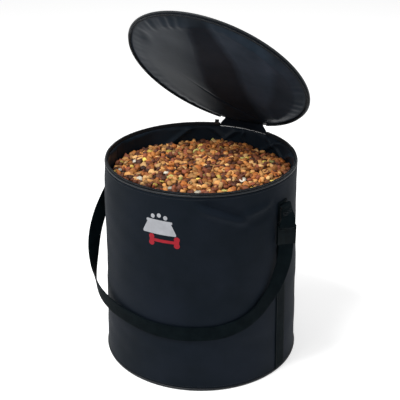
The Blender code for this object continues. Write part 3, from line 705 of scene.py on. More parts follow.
def build_lining():
    wall_z = np.concatenate([np.linspace(0.02, FREE_LINING, 8),
                             np.linspace(FREE_LINING + 0.004, WALL_TOP, 30)])
    floor_r = np.linspace(0.004, BASE_RADIUS - LINING_SEAT - 0.004, 12)
    out_r = np.concatenate([floor_r, [BASE_RADIUS - LINING_SEAT - 0.001], taper(wall_z) - LINING_SEAT])
    out_z = np.concatenate([np.full(12, LINING_FOOT), [LINING_FOOT + 0.0022], wall_z])
    in_r = np.concatenate([floor_r, [BASE_RADIUS - LINING_SEAT - 0.0025],
                           taper(wall_z) - LINING_SEAT - LINING_THICKNESS])
    in_z = np.concatenate([np.full(12, LINING_FOOT + LINING_THICKNESS), [LINING_FOOT + 0.0035], wall_z])
    profile = np.stack([np.concatenate([out_r, in_r[::-1]]), np.concatenate([out_z, in_z[::-1]])], -1)
    azimuth = 2 * math.pi * np.arange(RING_STEPS) / RING_STEPS
    radius = np.repeat(profile[None, :, 0], RING_STEPS, 0)
    height = np.repeat(profile[None, :, 1], RING_STEPS, 0)
    fold = lining_fold(azimuth[:, None], height)
    fold[:, :len(out_r)] *= 0.96
    radius = radius - fold
    points = around(radius, azimuth[:, None], height)
    u = RIM_RADIUS * np.linspace(0, 2 * math.pi, RING_STEPS + 1)
    count = len(profile)
    caps = [tuple(range(0, RING_STEPS * count, count)), tuple(range(count - 1, RING_STEPS * count, count))]
    even = np.ones((RING_STEPS * count, 4))
    cup = mesh_piece("lining_cup", points, True, False, (u, run_length(profile)), "bag",
                     coated, caps, even)
    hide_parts("inner_lining")


build_lining()


# Rim: piping sewn round the mouth, and above it the lower half of the zip, a cloth tape with a
# nylon coil along its upper edge.
HINGE_HALF = 0.055 / RIM_RADIUS
ZIP_SPAN = (math.pi + HINGE_HALF + math.radians(0.5), 3 * math.pi - HINGE_HALF - math.radians(0.5))
TAPE_LOW, TAPE_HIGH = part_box("rim_zip_tape")
TAPE_THICKNESS = 0.001
TAPE_OUTER = 0.1862
COIL_RADIUS = 0.0014
COIL_CENTRE = TAPE_OUTER + CLOTH_GAP + COIL_RADIUS
COIL_PITCH = 0.0021
COIL_WIRE = 0.00042
TAPE_DARK = (0.005, 0.0075, 0.0105)
TAPE_LIGHT = (0.011, 0.015, 0.020)
NYLON = (0.010, 0.013, 0.017)


def tape_material():
    material, shader, add, link = new_material("zip_tape_twill", 0.70, 0.20, 0.02)
    colour = cloudy_mix(add, link, 50.0, TAPE_DARK, TAPE_LIGHT)[0]
    link(colour, shader.inputs["Base Color"])
    add_bump(add, link, shader, plain_weave(add, link, 0.0008, 0.0008, 0.6), 0.4, 0.0003)
    return material


def nylon_material():
    material, shader, add, link = new_material("zip_nylon", 0.33, 0.5)
    colour, cloud = cloudy_mix(add, link, 120.0, *shades(NYLON, 0.7, 1.5))
    link(colour, shader.inputs["Base Color"])
    add_bump(add, link, shader, cloud, 0.1, 0.0001)
    return material


twill = tape_material()
nylon = nylon_material()


def zip_coil(name, centre, height, body, node, place=None):
    """A helix of wire wound round the circle of the given centre radius: each turn is a circle
    in (radius, height), and the wire is a five-sided section with soft shading."""
    start, end = ZIP_SPAN
    turns = int((end - start) * centre / COIL_PITCH)
    t = np.linspace(0, turns, turns * 8 + 1)
    azimuth = start + (end - start) * t / turns
    wind = 2 * math.pi * t
    oval_r, oval_z = COIL_RADIUS - COIL_WIRE, COIL_RADIUS - COIL_WIRE
    radius = centre + oval_r * np.cos(wind)
    z = height + oval_z * np.sin(wind)
    spine = around(radius, azimuth, z)
    along = np.gradient(spine, axis=0)
    along /= np.linalg.norm(along, axis=1)[:, None]
    heart = around(centre, azimuth, height)
    out = spine - heart
    out -= along * (out * along).sum(1)[:, None]
    out /= np.linalg.norm(out, axis=1)[:, None]
    side = np.cross(along, out)
    turn = 2 * math.pi * np.arange(5) / 5
    wire = out[:, None] * np.cos(turn)[None, :, None] + side[:, None] * np.sin(turn)[None, :, None]
    points = spine[:, None] + COIL_WIRE * wire
    if place is not None:
        points = place(points)
    u, v = run_length(spine), 2 * math.pi * COIL_WIRE * np.arange(6) / 5
    caps = [tuple(range(5)), tuple(range((len(t) - 1) * 5, len(t) * 5))]
    coil = mesh_piece(name, points, False, True, (u, v), body, nylon, caps)
    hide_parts(node)


def build_rim():
    radius = 0.002
    section = round_cord(RIM_RADIUS - 0.0015, WALL_TOP + CLOTH_GAP + radius, radius)
    cord = turned_ring("rim_cord_piping", section, "bag", satin)
    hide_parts("rim_piping")
    section = rounded_box(TAPE_OUTER - TAPE_THICKNESS, TAPE_OUTER, TAPE_LOW[2], TAPE_HIGH[2], 0.0003)
    tape = turned_ring("rim_zip_cloth", section, "bag", twill, span=ZIP_SPAN)
    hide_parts("rim_zip_tape")
    zip_coil("rim_coil", COIL_CENTRE, TAPE_HIGH[2] - COIL_RADIUS, "bag", "rim_zip_coil")
    ring_stitches("rim_zip_stitch", TAPE_OUTER, WALL_TOP + 0.0062, "bag", span=ZIP_SPAN)


build_rim()


# Lid: a stiffened round panel with piping round it, a short band under the piping that carries the
# upper half of the zip, all modelled shut and swung open about the hinge line at the back.
HINGE_JOINT = next(j for j in frame["record"]["behaviour"]["joints"] if j["name"] == "lid_hinge")
HINGE_PLACE = np.array(HINGE_JOINT["pos_m"])
LID_OPEN = math.radians(HINGE_JOINT["range_deg"][1])
LID_RADIUS = HINGE_PLACE[1]
HINGE_TOP = HINGE_PLACE[2]
LID_THICKNESS = 0.003
LID_UNDER = HINGE_TOP - LID_THICKNESS / 2
LID_EDGE = LID_RADIUS - 0.0023
LID_PIPING = 0.002
ZIP_GAP = 0.0015


def swing_open(points, direction=False):
    """Turns points of the shut lid back about the hinge line by the angle at which it stands."""
    c, s = math.cos(LID_OPEN), math.sin(LID_OPEN)
    moved = points if direction else points - HINGE_PLACE
    x, y, z = moved[..., 0], moved[..., 1], moved[..., 2]
    turned = np.stack([x, y * c + z * s, -y * s + z * c], -1)
    return turned if direction else turned + HINGE_PLACE


def lid_soft(x, y):
    """Height that the lid's panel bows and ripples by, 0 at its edge."""
    r = np.hypot(x, y) / LID_EDGE
    inside = 1 - ease(r, 0.82, 1.0)
    return inside * (0.0012 * np.sin(14 * x + 9 * y) + 0.0009 * np.sin(-17 * x + 21 * y + 1.0))


def build_lid_shell():
    top = HINGE_TOP + LID_THICKNESS / 2
    rings = np.concatenate([[0.02], np.linspace(0.08, 0.94, 26), [0.97, 0.99, 1.0]])
    upper_r = LID_EDGE * rings
    upper_z = top + 0.004 * (1 - rings ** 2)
    lower_r = LID_EDGE * rings[::-1]
    azimuth = 2 * math.pi * np.arange(256) / 256
    radius = np.concatenate([upper_r, lower_r])
    height = np.concatenate([upper_z, np.full(len(rings), LID_UNDER)])
    x, y = radius[None] * np.sin(azimuth)[:, None], -radius[None] * np.cos(azimuth)[:, None]
    z = np.repeat(height[None], 256, 0)
    z[:, :len(rings)] += lid_soft(x, y)[:, :len(rings)]
    points = swing_open(np.stack([x, y, z], -1))
    u = LID_EDGE * np.linspace(0, 2 * math.pi, 257)
    count = len(radius)
    caps = [tuple(range(0, 256 * count, count)), tuple(range(count - 1, 256 * count, count))]
    v = run_length(np.stack([radius, height], -1))
    panel = mesh_piece("lid_cloth", points, True, False, (u, v), "lid", woven, caps)
    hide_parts("lid_panel")
    section = round_cord(LID_RADIUS, HINGE_TOP, LID_PIPING)
    cord = turned_ring("lid_cord_piping", section, "lid", satin, place=swing_open)
    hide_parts("lid_piping")
    low = TAPE_HIGH[2] + ZIP_GAP
    under = LID_UNDER - CLOTH_GAP
    band_outer = TAPE_OUTER + 0.0023
    band_low = low + 2 * COIL_RADIUS + CLOTH_GAP
    section = rounded_box(TAPE_OUTER + CLOTH_GAP, band_outer, band_low, under, 0.0005)
    band = turned_ring("lid_band_cloth", section, "lid", woven, span=ZIP_SPAN, place=swing_open)
    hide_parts("lid_band")
    section = rounded_box(TAPE_OUTER - TAPE_THICKNESS, TAPE_OUTER, low, under, 0.0003)
    tape = turned_ring("lid_zip_cloth", section, "lid", twill, span=ZIP_SPAN, place=swing_open)
    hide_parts("lid_zip_tape")
    zip_coil("lid_coil", COIL_CENTRE, low + COIL_RADIUS, "lid", "lid_zip_coil", swing_open)
    ring_stitches("lid_band_stitch", band_outer, LID_UNDER - 0.0012, "lid", span=ZIP_SPAN,
                  place=swing_open)
    ring_stitches("lid_zip_stitch", TAPE_OUTER - TAPE_THICKNESS, LID_UNDER - 0.0022, "lid",
                  span=ZIP_SPAN, place=swing_open)


build_lid_shell()


# Lid lining: the same coated cloth, cut too wide and gathered into the band's seam, so that it
# hangs under the panel in broad slanting folds with small puckers all round.
LINING_EDGE = TAPE_OUTER - TAPE_THICKNESS - CLOTH_GAP
LINING_TOP = LID_UNDER - CLOTH_GAP


def lid_fold(x, y):
    """How deep the loose lining hangs, and a tint of painted light and shade. Four planes meet in lines that
    run from the lid's front edge to its hinge: the first falls, the second climbs, the third falls, the last
    climbs. The tint paints the first and the last plane a little lighter, the second darker and the third much
    lighter, as light and shade falling on them."""
    r = np.hypot(x, y) / LINING_EDGE
    azimuth = np.arctan2(x, -y)
    rows = np.array([-0.188, -0.110, -0.050, 0.025, 0.090, 0.170])
    first, second, third = (np.interp(y, rows, line) for line in (
        (0.002, -0.006, -0.020, -0.032, -0.024, -0.004), (0.036, 0.046, 0.055, 0.049, 0.046, 0.060),
        (0.140, 0.143, 0.142, 0.118, 0.085, 0.100)))
    planes, painted_light = 0.0, 0.0
    for nudge in (-0.007, -0.0035, 0.0, 0.0035, 0.007):
        at = x + nudge
        left = 0.0105 * np.clip((at + 0.185) / (first + 0.185), 0, 1)
        climb = -0.0098 * np.clip((at - first) / (second - first), 0, 1)
        fall = 0.0080 * np.clip((at - second) / (third - second), 0, 1)
        planes = planes + (left + climb + fall - 0.0075 * np.clip((at - third) / (0.185 - third), 0, 1)) / 5
        painted_light = painted_light + (1.15 * (at < first) + 0.85 * ((at >= first) & (at < second))
                         + 2.1 * ((at >= second) & (at < third)) + 1.2 * (at >= third)) / 5
    pucker = -0.0022 * bell(x + 0.010 - 0.9 * (y - 0.10), 0.004) * bell(y - 0.110, 0.05)
    slow = 0.0006 * np.sin(19 * x + 11 * y + 0.6) + 0.0004 * np.sin(-23 * x + 35 * y)
    crinkle = 0.0002 * np.sin(70 * x - 31 * y) * np.sin(43 * y + 20 * x + 1.0)
    dimple = -0.0030 * bell(x + 0.122, 0.013) * bell(y + 0.106, 0.024)
    strong = 0.18 + 0.60 * bell(near_turn(azimuth, math.radians(-22)), 0.30)
    strong = strong + 0.25 * bell(near_turn(azimuth, math.radians(-125)), 0.45)
    pull = 0.0010 * np.sin(34 * azimuth + 5 * np.sin(3 * azimuth)) + 0.0006 * np.sin(57 * azimuth + 2.0)
    edge = ease(r, 0.79, 0.95) * (1 - ease(r, 0.965, 1.0))
    inside = 1 - ease(r, 0.86, 0.995)
    return inside * (planes + slow + crinkle + pucker + dimple) + edge * (0.0012 + 1.2 * strong * pull), painted_light


def build_lid_lining():
    rings = np.concatenate([np.linspace(0.02, 0.70, 60), np.linspace(0.705, 1.0, 44)])
    azimuth = 2 * math.pi * np.arange(420) / 420
    radius = np.concatenate([LINING_EDGE * rings, LINING_EDGE * rings[::-1]])
    x, y = radius[None] * np.sin(azimuth)[:, None], -radius[None] * np.cos(azimuth)[:, None]
    hang, painted_light = lid_fold(x, y)
    depth = np.concatenate([np.zeros(len(rings)), np.full(len(rings), LINING_THICKNESS)])
    points = swing_open(np.stack([x, y, LINING_TOP - np.clip(hang, 0.0, 0.0115) - depth[None]], -1))
    u = LINING_EDGE * np.linspace(0, 2 * math.pi, 421)
    v = run_length(np.stack([radius, depth], -1))
    count = len(radius)
    caps = [tuple(range(0, 420 * count, count)), tuple(range(count - 1, 420 * count, count))]
    # The tint is painted light and shade: lighter and darker bands over the lining's planes.
    tint = np.repeat(painted_light.reshape(-1, 1), 4, 1)
    sheet = mesh_piece("lid_lining_cloth", points, True, False, (u, v), "lid", coated, caps, tint)
    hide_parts("lid_lining")


build_lid_lining()


# Hinge: the strip of wall cloth between the zip's two ends, sewn from the rim's piping up to the
# lid's, shaped once as it bends for the lid standing open.
STRIP_THICK = 0.0012
STRIP_INSET = 0.002
ZIP_MARGIN = math.radians(0.5)


def build_hinge():
    """Each column of cloth runs as a curve from the rim's piping up to the open lid's underside."""
    low = WALL_TOP + 0.0032
    outer = LID_RADIUS - STRIP_INSET
    azimuth = np.linspace(math.pi - HINGE_HALF - ZIP_MARGIN, math.pi + HINGE_HALF + ZIP_MARGIN, 57)
    t = np.linspace(0, 1, 15)
    sides = []
    for radius in (outer, outer - STRIP_THICK):
        foot = around(radius, azimuth, low)
        top = math.pi + 0.80 * (azimuth - math.pi)
        head = swing_open(around(radius, top, LID_UNDER + 0.0006))
        rise = (head - foot)[:, 2:] * np.array([0, 0, 1.0])
        into = swing_open(np.repeat([[0, 0, -1.0]], 57, 0), True) * rise[:, 2:]
        lifted, led = foot + 0.45 * rise, head + 0.35 * into
        curve = [(1 - s) ** 3 * foot + 3 * (1 - s) ** 2 * s * lifted + 3 * (1 - s) * s ** 2 * led
                 + s ** 3 * head for s in t]
        sides.append(np.stack(curve, 1))
    waves = 0.0007 * np.sin(41 * azimuth) + 0.0016 * bell(azimuth - math.pi, 0.012)
    slack = waves[:, None] * np.sin(math.pi * t)[None]
    shift = slack[..., None] * np.stack([-np.sin(azimuth), np.cos(azimuth), 0 * azimuth], -1)[:, None]
    points = np.concatenate([sides[0] + shift, (sides[1] + shift)[:, ::-1]], 1)
    count = points.shape[1]
    caps = [tuple(range(count)), tuple(range(56 * count, 57 * count))]
    cut = (outer * azimuth, run_length(points[28], True))
    strip = mesh_piece("hinge_cloth", points, False, True, cut, "", woven, caps)
    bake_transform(strip)
    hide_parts("hinge_strip")


build_hinge()


# Zip slider and pull: die-cast in zinc with a dark enamel, and kept as the frame has them. The
# slider runs on the rim's coil and the pull swings on its lug.
ENAMEL = (0.045, 0.047, 0.052)


def enamel_material():
    material, shader, add, link = new_material("slider_enamel", 0.32, 0.5, 0.0, 0.3)
    shader.inputs["Metallic"].default_value = 0.6
    colour, cloud = cloudy_mix(add, link, 260.0, *shades(ENAMEL, 0.7, 1.6))
    link(colour, shader.inputs["Base Color"])
    add_bump(add, link, shader, cloud, 0.15, 0.0002)
    return material


enamel = enamel_material()
for node in ("zip_slider", "zip_pull"):
    metal_piece = frame["nodes"][node]
    metal_piece.data.materials.clear()
    metal_piece.data.materials.append(enamel)


# Shoulder strap: one length of ribbed webbing, sewn on at the left seam, slung slack across the
# front, and turned back on itself round the buckle's rear bar. A short loop holds the buckle.
WEBBING_THICKNESS = 0.0016
SEAM_REACH = 12
BUCKLE_AZIMUTH = 80.5
BUCKLE_TURN = -36.0
BUCKLE_STANDOFF = 0.0185
BUCKLE_TOP = 0.331
BUCKLE_HEIGHT = 0.039
BUCKLE_BAR = 0.0036
LOOP_TOP = 0.371
LOOP_BULGE = 0.016
LOOP_FOLD = 0.0040
LOOP_STEPS = 8
LOOP_HIDDEN = 7
TAIL_LENGTH = 0.042
TAIL_LEAN = 0.0006
STRAP_ROUTE = [
    (79.0, 0.266, 0.0160, -34.0), (77.6, 0.245, 0.0140, -32.0), (75.6, 0.223, 0.0112, -27.0),
    (73.0, 0.202, 0.0082, -19.0), (68.5, 0.180, 0.0052, -9.0), (62.5, 0.160, 0.0030, -2.0),
    (53.5, 0.144, 0.0021, 0.0),
    (42.0, 0.134, 0.0018, 0.0), (29.0, 0.1305, 0.0018, 0.0), (16.0, 0.1295, 0.0018, 0.0),
    (3.0, 0.1300, 0.0020, 0.0), (-10.0, 0.1325, 0.0024, 0.0), (-22.0, 0.1345, 0.0048, 2.0),
    (-34.0, 0.1370, 0.0100, 0.0), (-46.0, 0.1430, 0.0180, -8.0), (-57.0, 0.1580, 0.0260, -22.0),
    (-66.0, 0.1880, 0.0320, -38.0), (-72.0, 0.2260, 0.0320, -46.0), (-77.0, 0.2640, 0.0270, -44.0),
    (-82.0, 0.3000, 0.0180, -32.0), (-84.6, 0.3280, 0.0090, -16.0), (-84.2, 0.3460, 0.0030, -4.0),
    (-83.4, 0.3580, 0.0003, 0.0), (-83.4, 0.3690, 0.0003, 0.0),
]


def polar(azimuth, radius, z):
    return np.array([radius * math.sin(azimuth), -radius * math.cos(azimuth), z])


def wall_station(azimuth, z, clear, turn):
    a = math.radians(azimuth)
    over_seam = abs(abs(azimuth) - math.degrees(SEAM_AZIMUTH)) < SEAM_REACH
    radius = float(taper(z)) + (STRIP_THICKNESS + CLOTH_GAP) * over_seam + clear + WEBBING_THICKNESS / 2
    return np.concatenate([polar(a, radius, z), polar(a + math.radians(turn), 1.0, 0.0)])


BUCKLE_CENTRE = polar(math.radians(BUCKLE_AZIMUTH), float(taper(BUCKLE_TOP)) + BUCKLE_STANDOFF, 0.0)
BUCKLE_OUT = polar(math.radians(BUCKLE_AZIMUTH + BUCKLE_TURN), 1.0, 0.0)
BUCKLE_WIDTH = np.cross(BUCKLE_OUT, [0, 0, -1.0])
REAR_BAR = (-(BUCKLE_BAR / 2 + WEBBING_THICKNESS + 0.0006), BUCKLE_TOP - BUCKLE_HEIGHT / 2 - BUCKLE_BAR / 2)
TURN_RADIUS = BUCKLE_BAR / 2 + CLOTH_GAP + WEBBING_THICKNESS / 2


def buckle_station(out, z, facing):
    point = BUCKLE_CENTRE + BUCKLE_OUT * out + np.array([0, 0, z])
    face = BUCKLE_OUT * facing[0] + np.array([0, 0, facing[1]])
    return np.concatenate([point, face / np.linalg.norm(face)])


def hairpin(centre_out, centre_z, start, end, steps=6):
    """Stations round a bar, by angle in degrees from outward (0) to up (90)."""
    angles = np.radians(start + (end - start) * np.arange(steps + 1) / steps)
    return [buckle_station(centre_out + TURN_RADIUS * math.cos(t), centre_z + TURN_RADIUS * math.sin(t),
                           (math.cos(t), math.sin(t))) for t in angles]


def smooth_stations(stations, steps):
    """Catmull-Rom curve through the stations' points and facings."""
    data = np.array(stations)
    padded = np.vstack([2 * data[0] - data[1], data, 2 * data[-1] - data[-2]])
    p0, p1, p2, p3 = (padded[k:len(padded) - 3 + k, None] for k in range(4))
    t = (np.arange(steps) / steps)[None, :, None]
    curve = 0.5 * (2 * p1 + (p2 - p0) * t + (2 * p0 - 5 * p1 + 4 * p2 - p3) * t ** 2
                   + (3 * p1 - p0 - 3 * p2 + p3) * t ** 3)
    return np.vstack([curve.reshape(-1, data.shape[1]), data[-1:]])


def sweep_webbing(name, stations, steps, node):
    """The webbing's flat oval section carried along the smooth path, square to it."""
    path = smooth_stations(stations, steps)
    spine = path[:, :3]
    along = np.gradient(spine, axis=0)
    along /= np.linalg.norm(along, axis=1)[:, None]
    across = np.cross(path[:, 3:], along)
    across /= np.linalg.norm(across, axis=1)[:, None]
    out = np.cross(along, across)
    section = flat_oval(WEBBING_WIDTH / 2, WEBBING_THICKNESS / 2)
    points = spine[:, None] + across[:, None] * section[None, :, :1] + out[:, None] * section[None, :, 1:]
    count = len(section)
    caps = [tuple(range(count)), tuple(range((len(spine) - 1) * count, len(spine) * count))]
    cut = (run_length(spine), run_length(section, True))
    strap = mesh_piece(name, points, False, True, cut, "bag", webbing, caps)
    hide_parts(node)
    return spine, along, across, out


def build_strap():
    bar_out, bar_z = REAR_BAR
    low, tail = bar_z - TAIL_LENGTH, bar_out - TURN_RADIUS
    stations = [buckle_station(tail - TAIL_LEAN * (1 - up) ** 2, low + up * TAIL_LENGTH, (-1, 0))
                for up in (0.0, 0.3, 0.6)]
    stations += hairpin(bar_out, bar_z, 180, 0)
    front = bar_out + TURN_RADIUS
    stations += [buckle_station(front, bar_z - 0.012, (1, 0)), buckle_station(front, bar_z - 0.026, (1, 0))]
    stations += [wall_station(*row) for row in STRAP_ROUTE]
    sweep_webbing("strap_webbing", stations, 12, "shoulder_strap")
    bar_z = BUCKLE_TOP - BUCKLE_BAR / 2
    seam = math.degrees(SEAM_AZIMUTH)
    outward = polar(SEAM_AZIMUTH, 1.0, 0.0)
    loop = [wall_station(seam, LOOP_TOP - up, 0.0004, 180.0) for up in (0.034, 0.022, 0.010)]
    for angle in (150, 100, 50, 10):
        t = math.radians(angle)
        clear = 0.0004 + LOOP_FOLD * (1 + math.cos(t))
        row = wall_station(seam, LOOP_TOP - 0.006 + LOOP_FOLD * math.sin(t), clear, 0.0)
        row[3:] = outward * math.cos(t) + np.array([0.0, 0.0, math.sin(t)])
        loop.append(row)
    loop += [wall_station(seam - 0.5, LOOP_TOP - 0.016, 0.0095, -16.0),
             wall_station(seam - 1.6, LOOP_TOP - 0.027, LOOP_BULGE, -31.0),
             buckle_station(TURN_RADIUS, bar_z + 0.007, (1, 0))]
    loop += hairpin(0.0, bar_z, 0, -180)
    loop.append(buckle_station(-TURN_RADIUS, bar_z + 0.008, (-1, 0)))
    return sweep_webbing("anchor_webbing", loop, LOOP_STEPS, "right_anchor_loop")


anchor_path = build_strap()


def build_bar_tack():
    """Rows of close stitches across the anchor loop, where it is sewn back to itself."""
    spine, along, across, out = anchor_path
    rows, columns = np.arange(5), np.linspace(-0.010, 0.010, 7)
    front = LOOP_HIDDEN * LOOP_STEPS
    pick = front + np.argmin(np.abs(spine[front:front + 24, 2] - (LOOP_TOP - 0.018)))
    base = spine[pick] + out[pick] * WEBBING_THICKNESS / 2
    middles = np.array([base - along[pick] * (row * 0.0028 - 0.0056) + across[pick] * c
                        for row in rows for c in columns])
    ways, outs = (np.repeat(way[pick][None], len(middles), 0) for way in (across, out))
    stitches("anchor_bar_tack", middles, ways, outs, "bag", 0.0030, 0.0004)


build_bar_tack()


# Buckle: one moulding in black acetal, a ladder lock with a front plate, two side arms, a top bar
# for the anchor loop and a rear bar for the strap.
ACETAL = (0.0020, 0.0042, 0.0052)
BUCKLE_ROUNDING = 0.0006


def moulded_plastic():
    """Moulded plastic: nearly smooth, faint grain, its tone a little uneven at random."""
    material, shader, add, link = new_material("buckle_acetal", 0.44, 0.05, 0.0, 0.0)
    colour = cloudy_mix(add, link, 90.0, *shades(ACETAL, 0.8, 1.7))[0]
    link(colour, shader.inputs["Base Color"])
    where = add("ShaderNodeTexCoord")
    grain = add("ShaderNodeTexNoise", Scale=1800.0, Detail=2.0)
    link(where.outputs["Object"], grain.inputs["Vector"])
    add_bump(add, link, shader, grain.outputs["Fac"], 0.12, 0.00012)
    return material


def build_buckle():
    source = frame["nodes"]["strap_buckle"]
    work = bmesh.new()
    work.from_mesh(source.data)
    work.transform(source.matrix_world)
    bmesh.ops.remove_doubles(work, verts=work.verts, dist=2e-6)
    bmesh.ops.dissolve_limit(work, angle_limit=math.radians(2), verts=work.verts, edges=work.edges)
    sharp = [e for e in work.edges if len(e.link_faces) == 2 and e.calc_face_angle(0) > math.radians(50)]
    bmesh.ops.bevel(work, geom=sharp, offset=BUCKLE_ROUNDING, segments=3, profile=0.5, affect="EDGES",
                    clamp_overlap=True)
    web_low, web_high = BUCKLE_TOP - 0.0112, BUCKLE_TOP - 0.0064
    middle = BUCKLE_CENTRE + BUCKLE_OUT * 0.0009 + np.array([0, 0, (web_low + web_high) / 2])
    rows = [[w, o, u, m] for w, o, u, m in zip(BUCKLE_WIDTH, BUCKLE_OUT, (0, 0, 1), middle)]
    frame_axes = Matrix(rows + [[0, 0, 0, 1]])
    size = Matrix.Diagonal((WEBBING_WIDTH + 0.0016, 0.0014, web_high - web_low, 1.0))
    bmesh.ops.create_cube(work, size=1.0, matrix=frame_axes @ size)
    bmesh.ops.triangulate(work, faces=work.faces)
    bmesh.ops.recalc_face_normals(work, faces=work.faces)
    mesh = bpy.data.meshes.new("buckle_moulding")
    work.to_mesh(mesh)
    work.free()
    mesh.shade_smooth()
    mesh.set_sharp_from_angle(angle=math.radians(40))
    mesh.materials.append(moulded_plastic())
    buckle = bpy.data.objects.new("buckle_moulding", mesh)
    bpy.context.collection.objects.link(buckle)
    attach(buckle, "bag")
    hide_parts("strap_buckle")


build_buckle()


# Food: dry pellets in a low heap, round biscuits, three-cornered chunks, rings, sticks and
# stars in browns and tans with a few yellow and pale ones. They lie two deep; the lower layer is painted
# darker as shade, and a bed painted dark brown as the shade between them lies beneath.
FILL_HEIGHT = 0.384
MOUND_HEIGHT = 0.015
PELLET_PITCH = 0.0108
HEAP_EDGE = 0.0078
PELLET_COLOURS = np.array([
    (0.540, 0.205, 0.048), (0.640, 0.310, 0.095), (0.430, 0.135, 0.028), (0.210, 0.062, 0.022),
    (0.120, 0.038, 0.018), (0.300, 0.085, 0.036), (0.075, 0.026, 0.014), (0.760, 0.440, 0.170),
    (0.780, 0.560, 0.110), (0.800, 0.740, 0.600), (0.480, 0.440, 0.130)])
PELLET_SHARES = np.array([0.20, 0.17, 0.13, 0.13, 0.09, 0.12, 0.05, 0.070, 0.020, 0.010, 0.010])


def mound(x, y):
    """Height of the heap: a low dome with a slight lean and soft lumps."""
    r = np.hypot(x, y) / RIM_RADIUS
    lean = 0.004 * (x - y) / RIM_RADIUS
    return FILL_HEIGHT + MOUND_HEIGHT * (1 - r * r) + lean + 0.0025 * np.sin(31 * x + 17 * y)


def pellet_material():
    """Baked crumb: the pellet's tint, which in the lower layer holds painted shade, mottled by the crumb
    noise, which also darkens the crumb's pits as painted shade; slightly oily.
    """
    material, shader, add, link = new_material("baked_pellets", 0.62, 0.4)
    tint = add("ShaderNodeVertexColor", layer_name="tint")
    where = add("ShaderNodeTexCoord")
    crumb_and_pit_shade = add("ShaderNodeTexNoise", Scale=520.0, Detail=4.0, Roughness=0.7)
    link(where.outputs["Object"], crumb_and_pit_shade.inputs["Vector"])
    # The crumb noise sets the tone and the bump together, so the pits are darker: painted shade over a random
    # mottle.
    tone = add("ShaderNodeMapRange", To_Min=0.35, To_Max=1.55)
    link(crumb_and_pit_shade.outputs["Fac"], tone.inputs["Value"])
    mix = add("ShaderNodeMix", data_type="RGBA", blend_type="MULTIPLY")
    mix.inputs["Factor"].default_value = 1.0
    link(tint.outputs["Color"], mix.inputs["A"])
    link(tone.outputs["Result"], mix.inputs["B"])
    link(mix.outputs["Result"], shader.inputs["Base Color"])
    add_bump(add, link, shader, crumb_and_pit_shade.outputs["Fac"], 0.6, 0.0008)
    return material


def pellet_forms():
    """Five forms as unit (vertices, faces): a dome biscuit, a three-cornered chunk, a stick, a
    star and a ring. All but the ring are a ball of 8 by 4 facets with its radius changed."""
    theta = 2 * math.pi * np.arange(8) / 8
    phi = np.linspace(0, math.pi, 6)[1:-1]
    t, p = np.meshgrid(theta, phi, indexing="ij")
    ball = np.stack([np.cos(t) * np.sin(p), np.sin(t) * np.sin(p), np.cos(p)], -1)
    index = np.arange(32).reshape(8, 4)
    after = np.roll(index, -1, axis=0)
    quads = np.stack([index[:, :-1], after[:, :-1], after[:, 1:], index[:, 1:]], -1).reshape(-1, 4)
    split = np.vstack([quads[:, [0, 1, 2]], quads[:, [0, 2, 3]]])
    poles = np.vstack([np.stack([after[:, 0], index[:, 0], np.full(8, 32)], -1),
                       np.stack([index[:, 3], after[:, 3], np.full(8, 33)], -1)])
    faces = np.vstack([split, poles])

    def form(lobes, depth, size, power):
        swell = 1 + depth * np.cos(lobes * t) * np.sin(p) ** 2
        shape = np.sign(ball) * np.abs(ball) ** power * swell[..., None]
        ends = np.array([[0, 0, 0.92], [0, 0, -0.92]])
        return np.vstack([shape.reshape(-1, 3), ends]) * size, faces

    ring_t, ring_p = np.meshgrid(2 * math.pi * np.arange(9) / 9, 2 * math.pi * np.arange(5) / 5,
                                 indexing="ij")
    reach = 0.72 + 0.34 * np.cos(ring_p)
    ring = np.stack([reach * np.cos(ring_t), reach * np.sin(ring_t), 0.36 * np.sin(ring_p)], -1).reshape(-1, 3)
    index = np.arange(45).reshape(9, 5)
    a, b = np.roll(index, -1, axis=0), np.roll(index, -1, axis=1)
    both = np.roll(a, -1, axis=1)
    quads = np.stack([index, a, both, b], -1).reshape(-1, 4)
    ring_faces = np.vstack([quads[:, [0, 1, 2]], quads[:, [0, 2, 3]]])
    return [form(2, 0.05, (1.0, 0.92, 0.66), 0.85), form(3, 0.22, (1.05, 1.05, 0.62), 0.7),
            form(2, 0.10, (1.25, 0.52, 0.50), 0.7), form(5, 0.26, (1.0, 1.0, 0.55), 0.9), (ring, ring_faces)]


def scatter_pellets(rng):
    """Places and a darkening factor for each pellet, in two layers of a jittered lattice over the mound; the
    lower layer's factor is painted shade.
    """
    inner = taper(FILL_HEIGHT) - LINING_SEAT - LINING_THICKNESS - HEAP_EDGE
    count = int(inner / PELLET_PITCH) + 2
    rows = []
    for layer, drop in ((0, 0.0072), (1, 0.0014)):
        i, j = np.meshgrid(np.arange(-2 * count, 2 * count + 1), np.arange(-count, count + 1), indexing="ij")
        x = PELLET_PITCH * (i + j / 2 + 0.5 * layer).ravel()
        y = PELLET_PITCH * (j * math.sqrt(3) / 2 + 0.3 * layer).ravel()
        x = x + rng.uniform(-0.32, 0.32, x.shape) * PELLET_PITCH
        y = y + rng.uniform(-0.32, 0.32, y.shape) * PELLET_PITCH
        keep = np.hypot(x, y) < inner
        x, y = x[keep], y[keep]
        z = mound(x, y) - drop + rng.uniform(-0.0024, 0.0026, x.shape)
        rows.append(np.stack([x, y, z], -1))
    # The lower layer keeps 0.17 of its colour: painted shade.
    return np.vstack(rows), np.concatenate([np.full(len(rows[0]), 0.17), np.ones(len(rows[1]))])


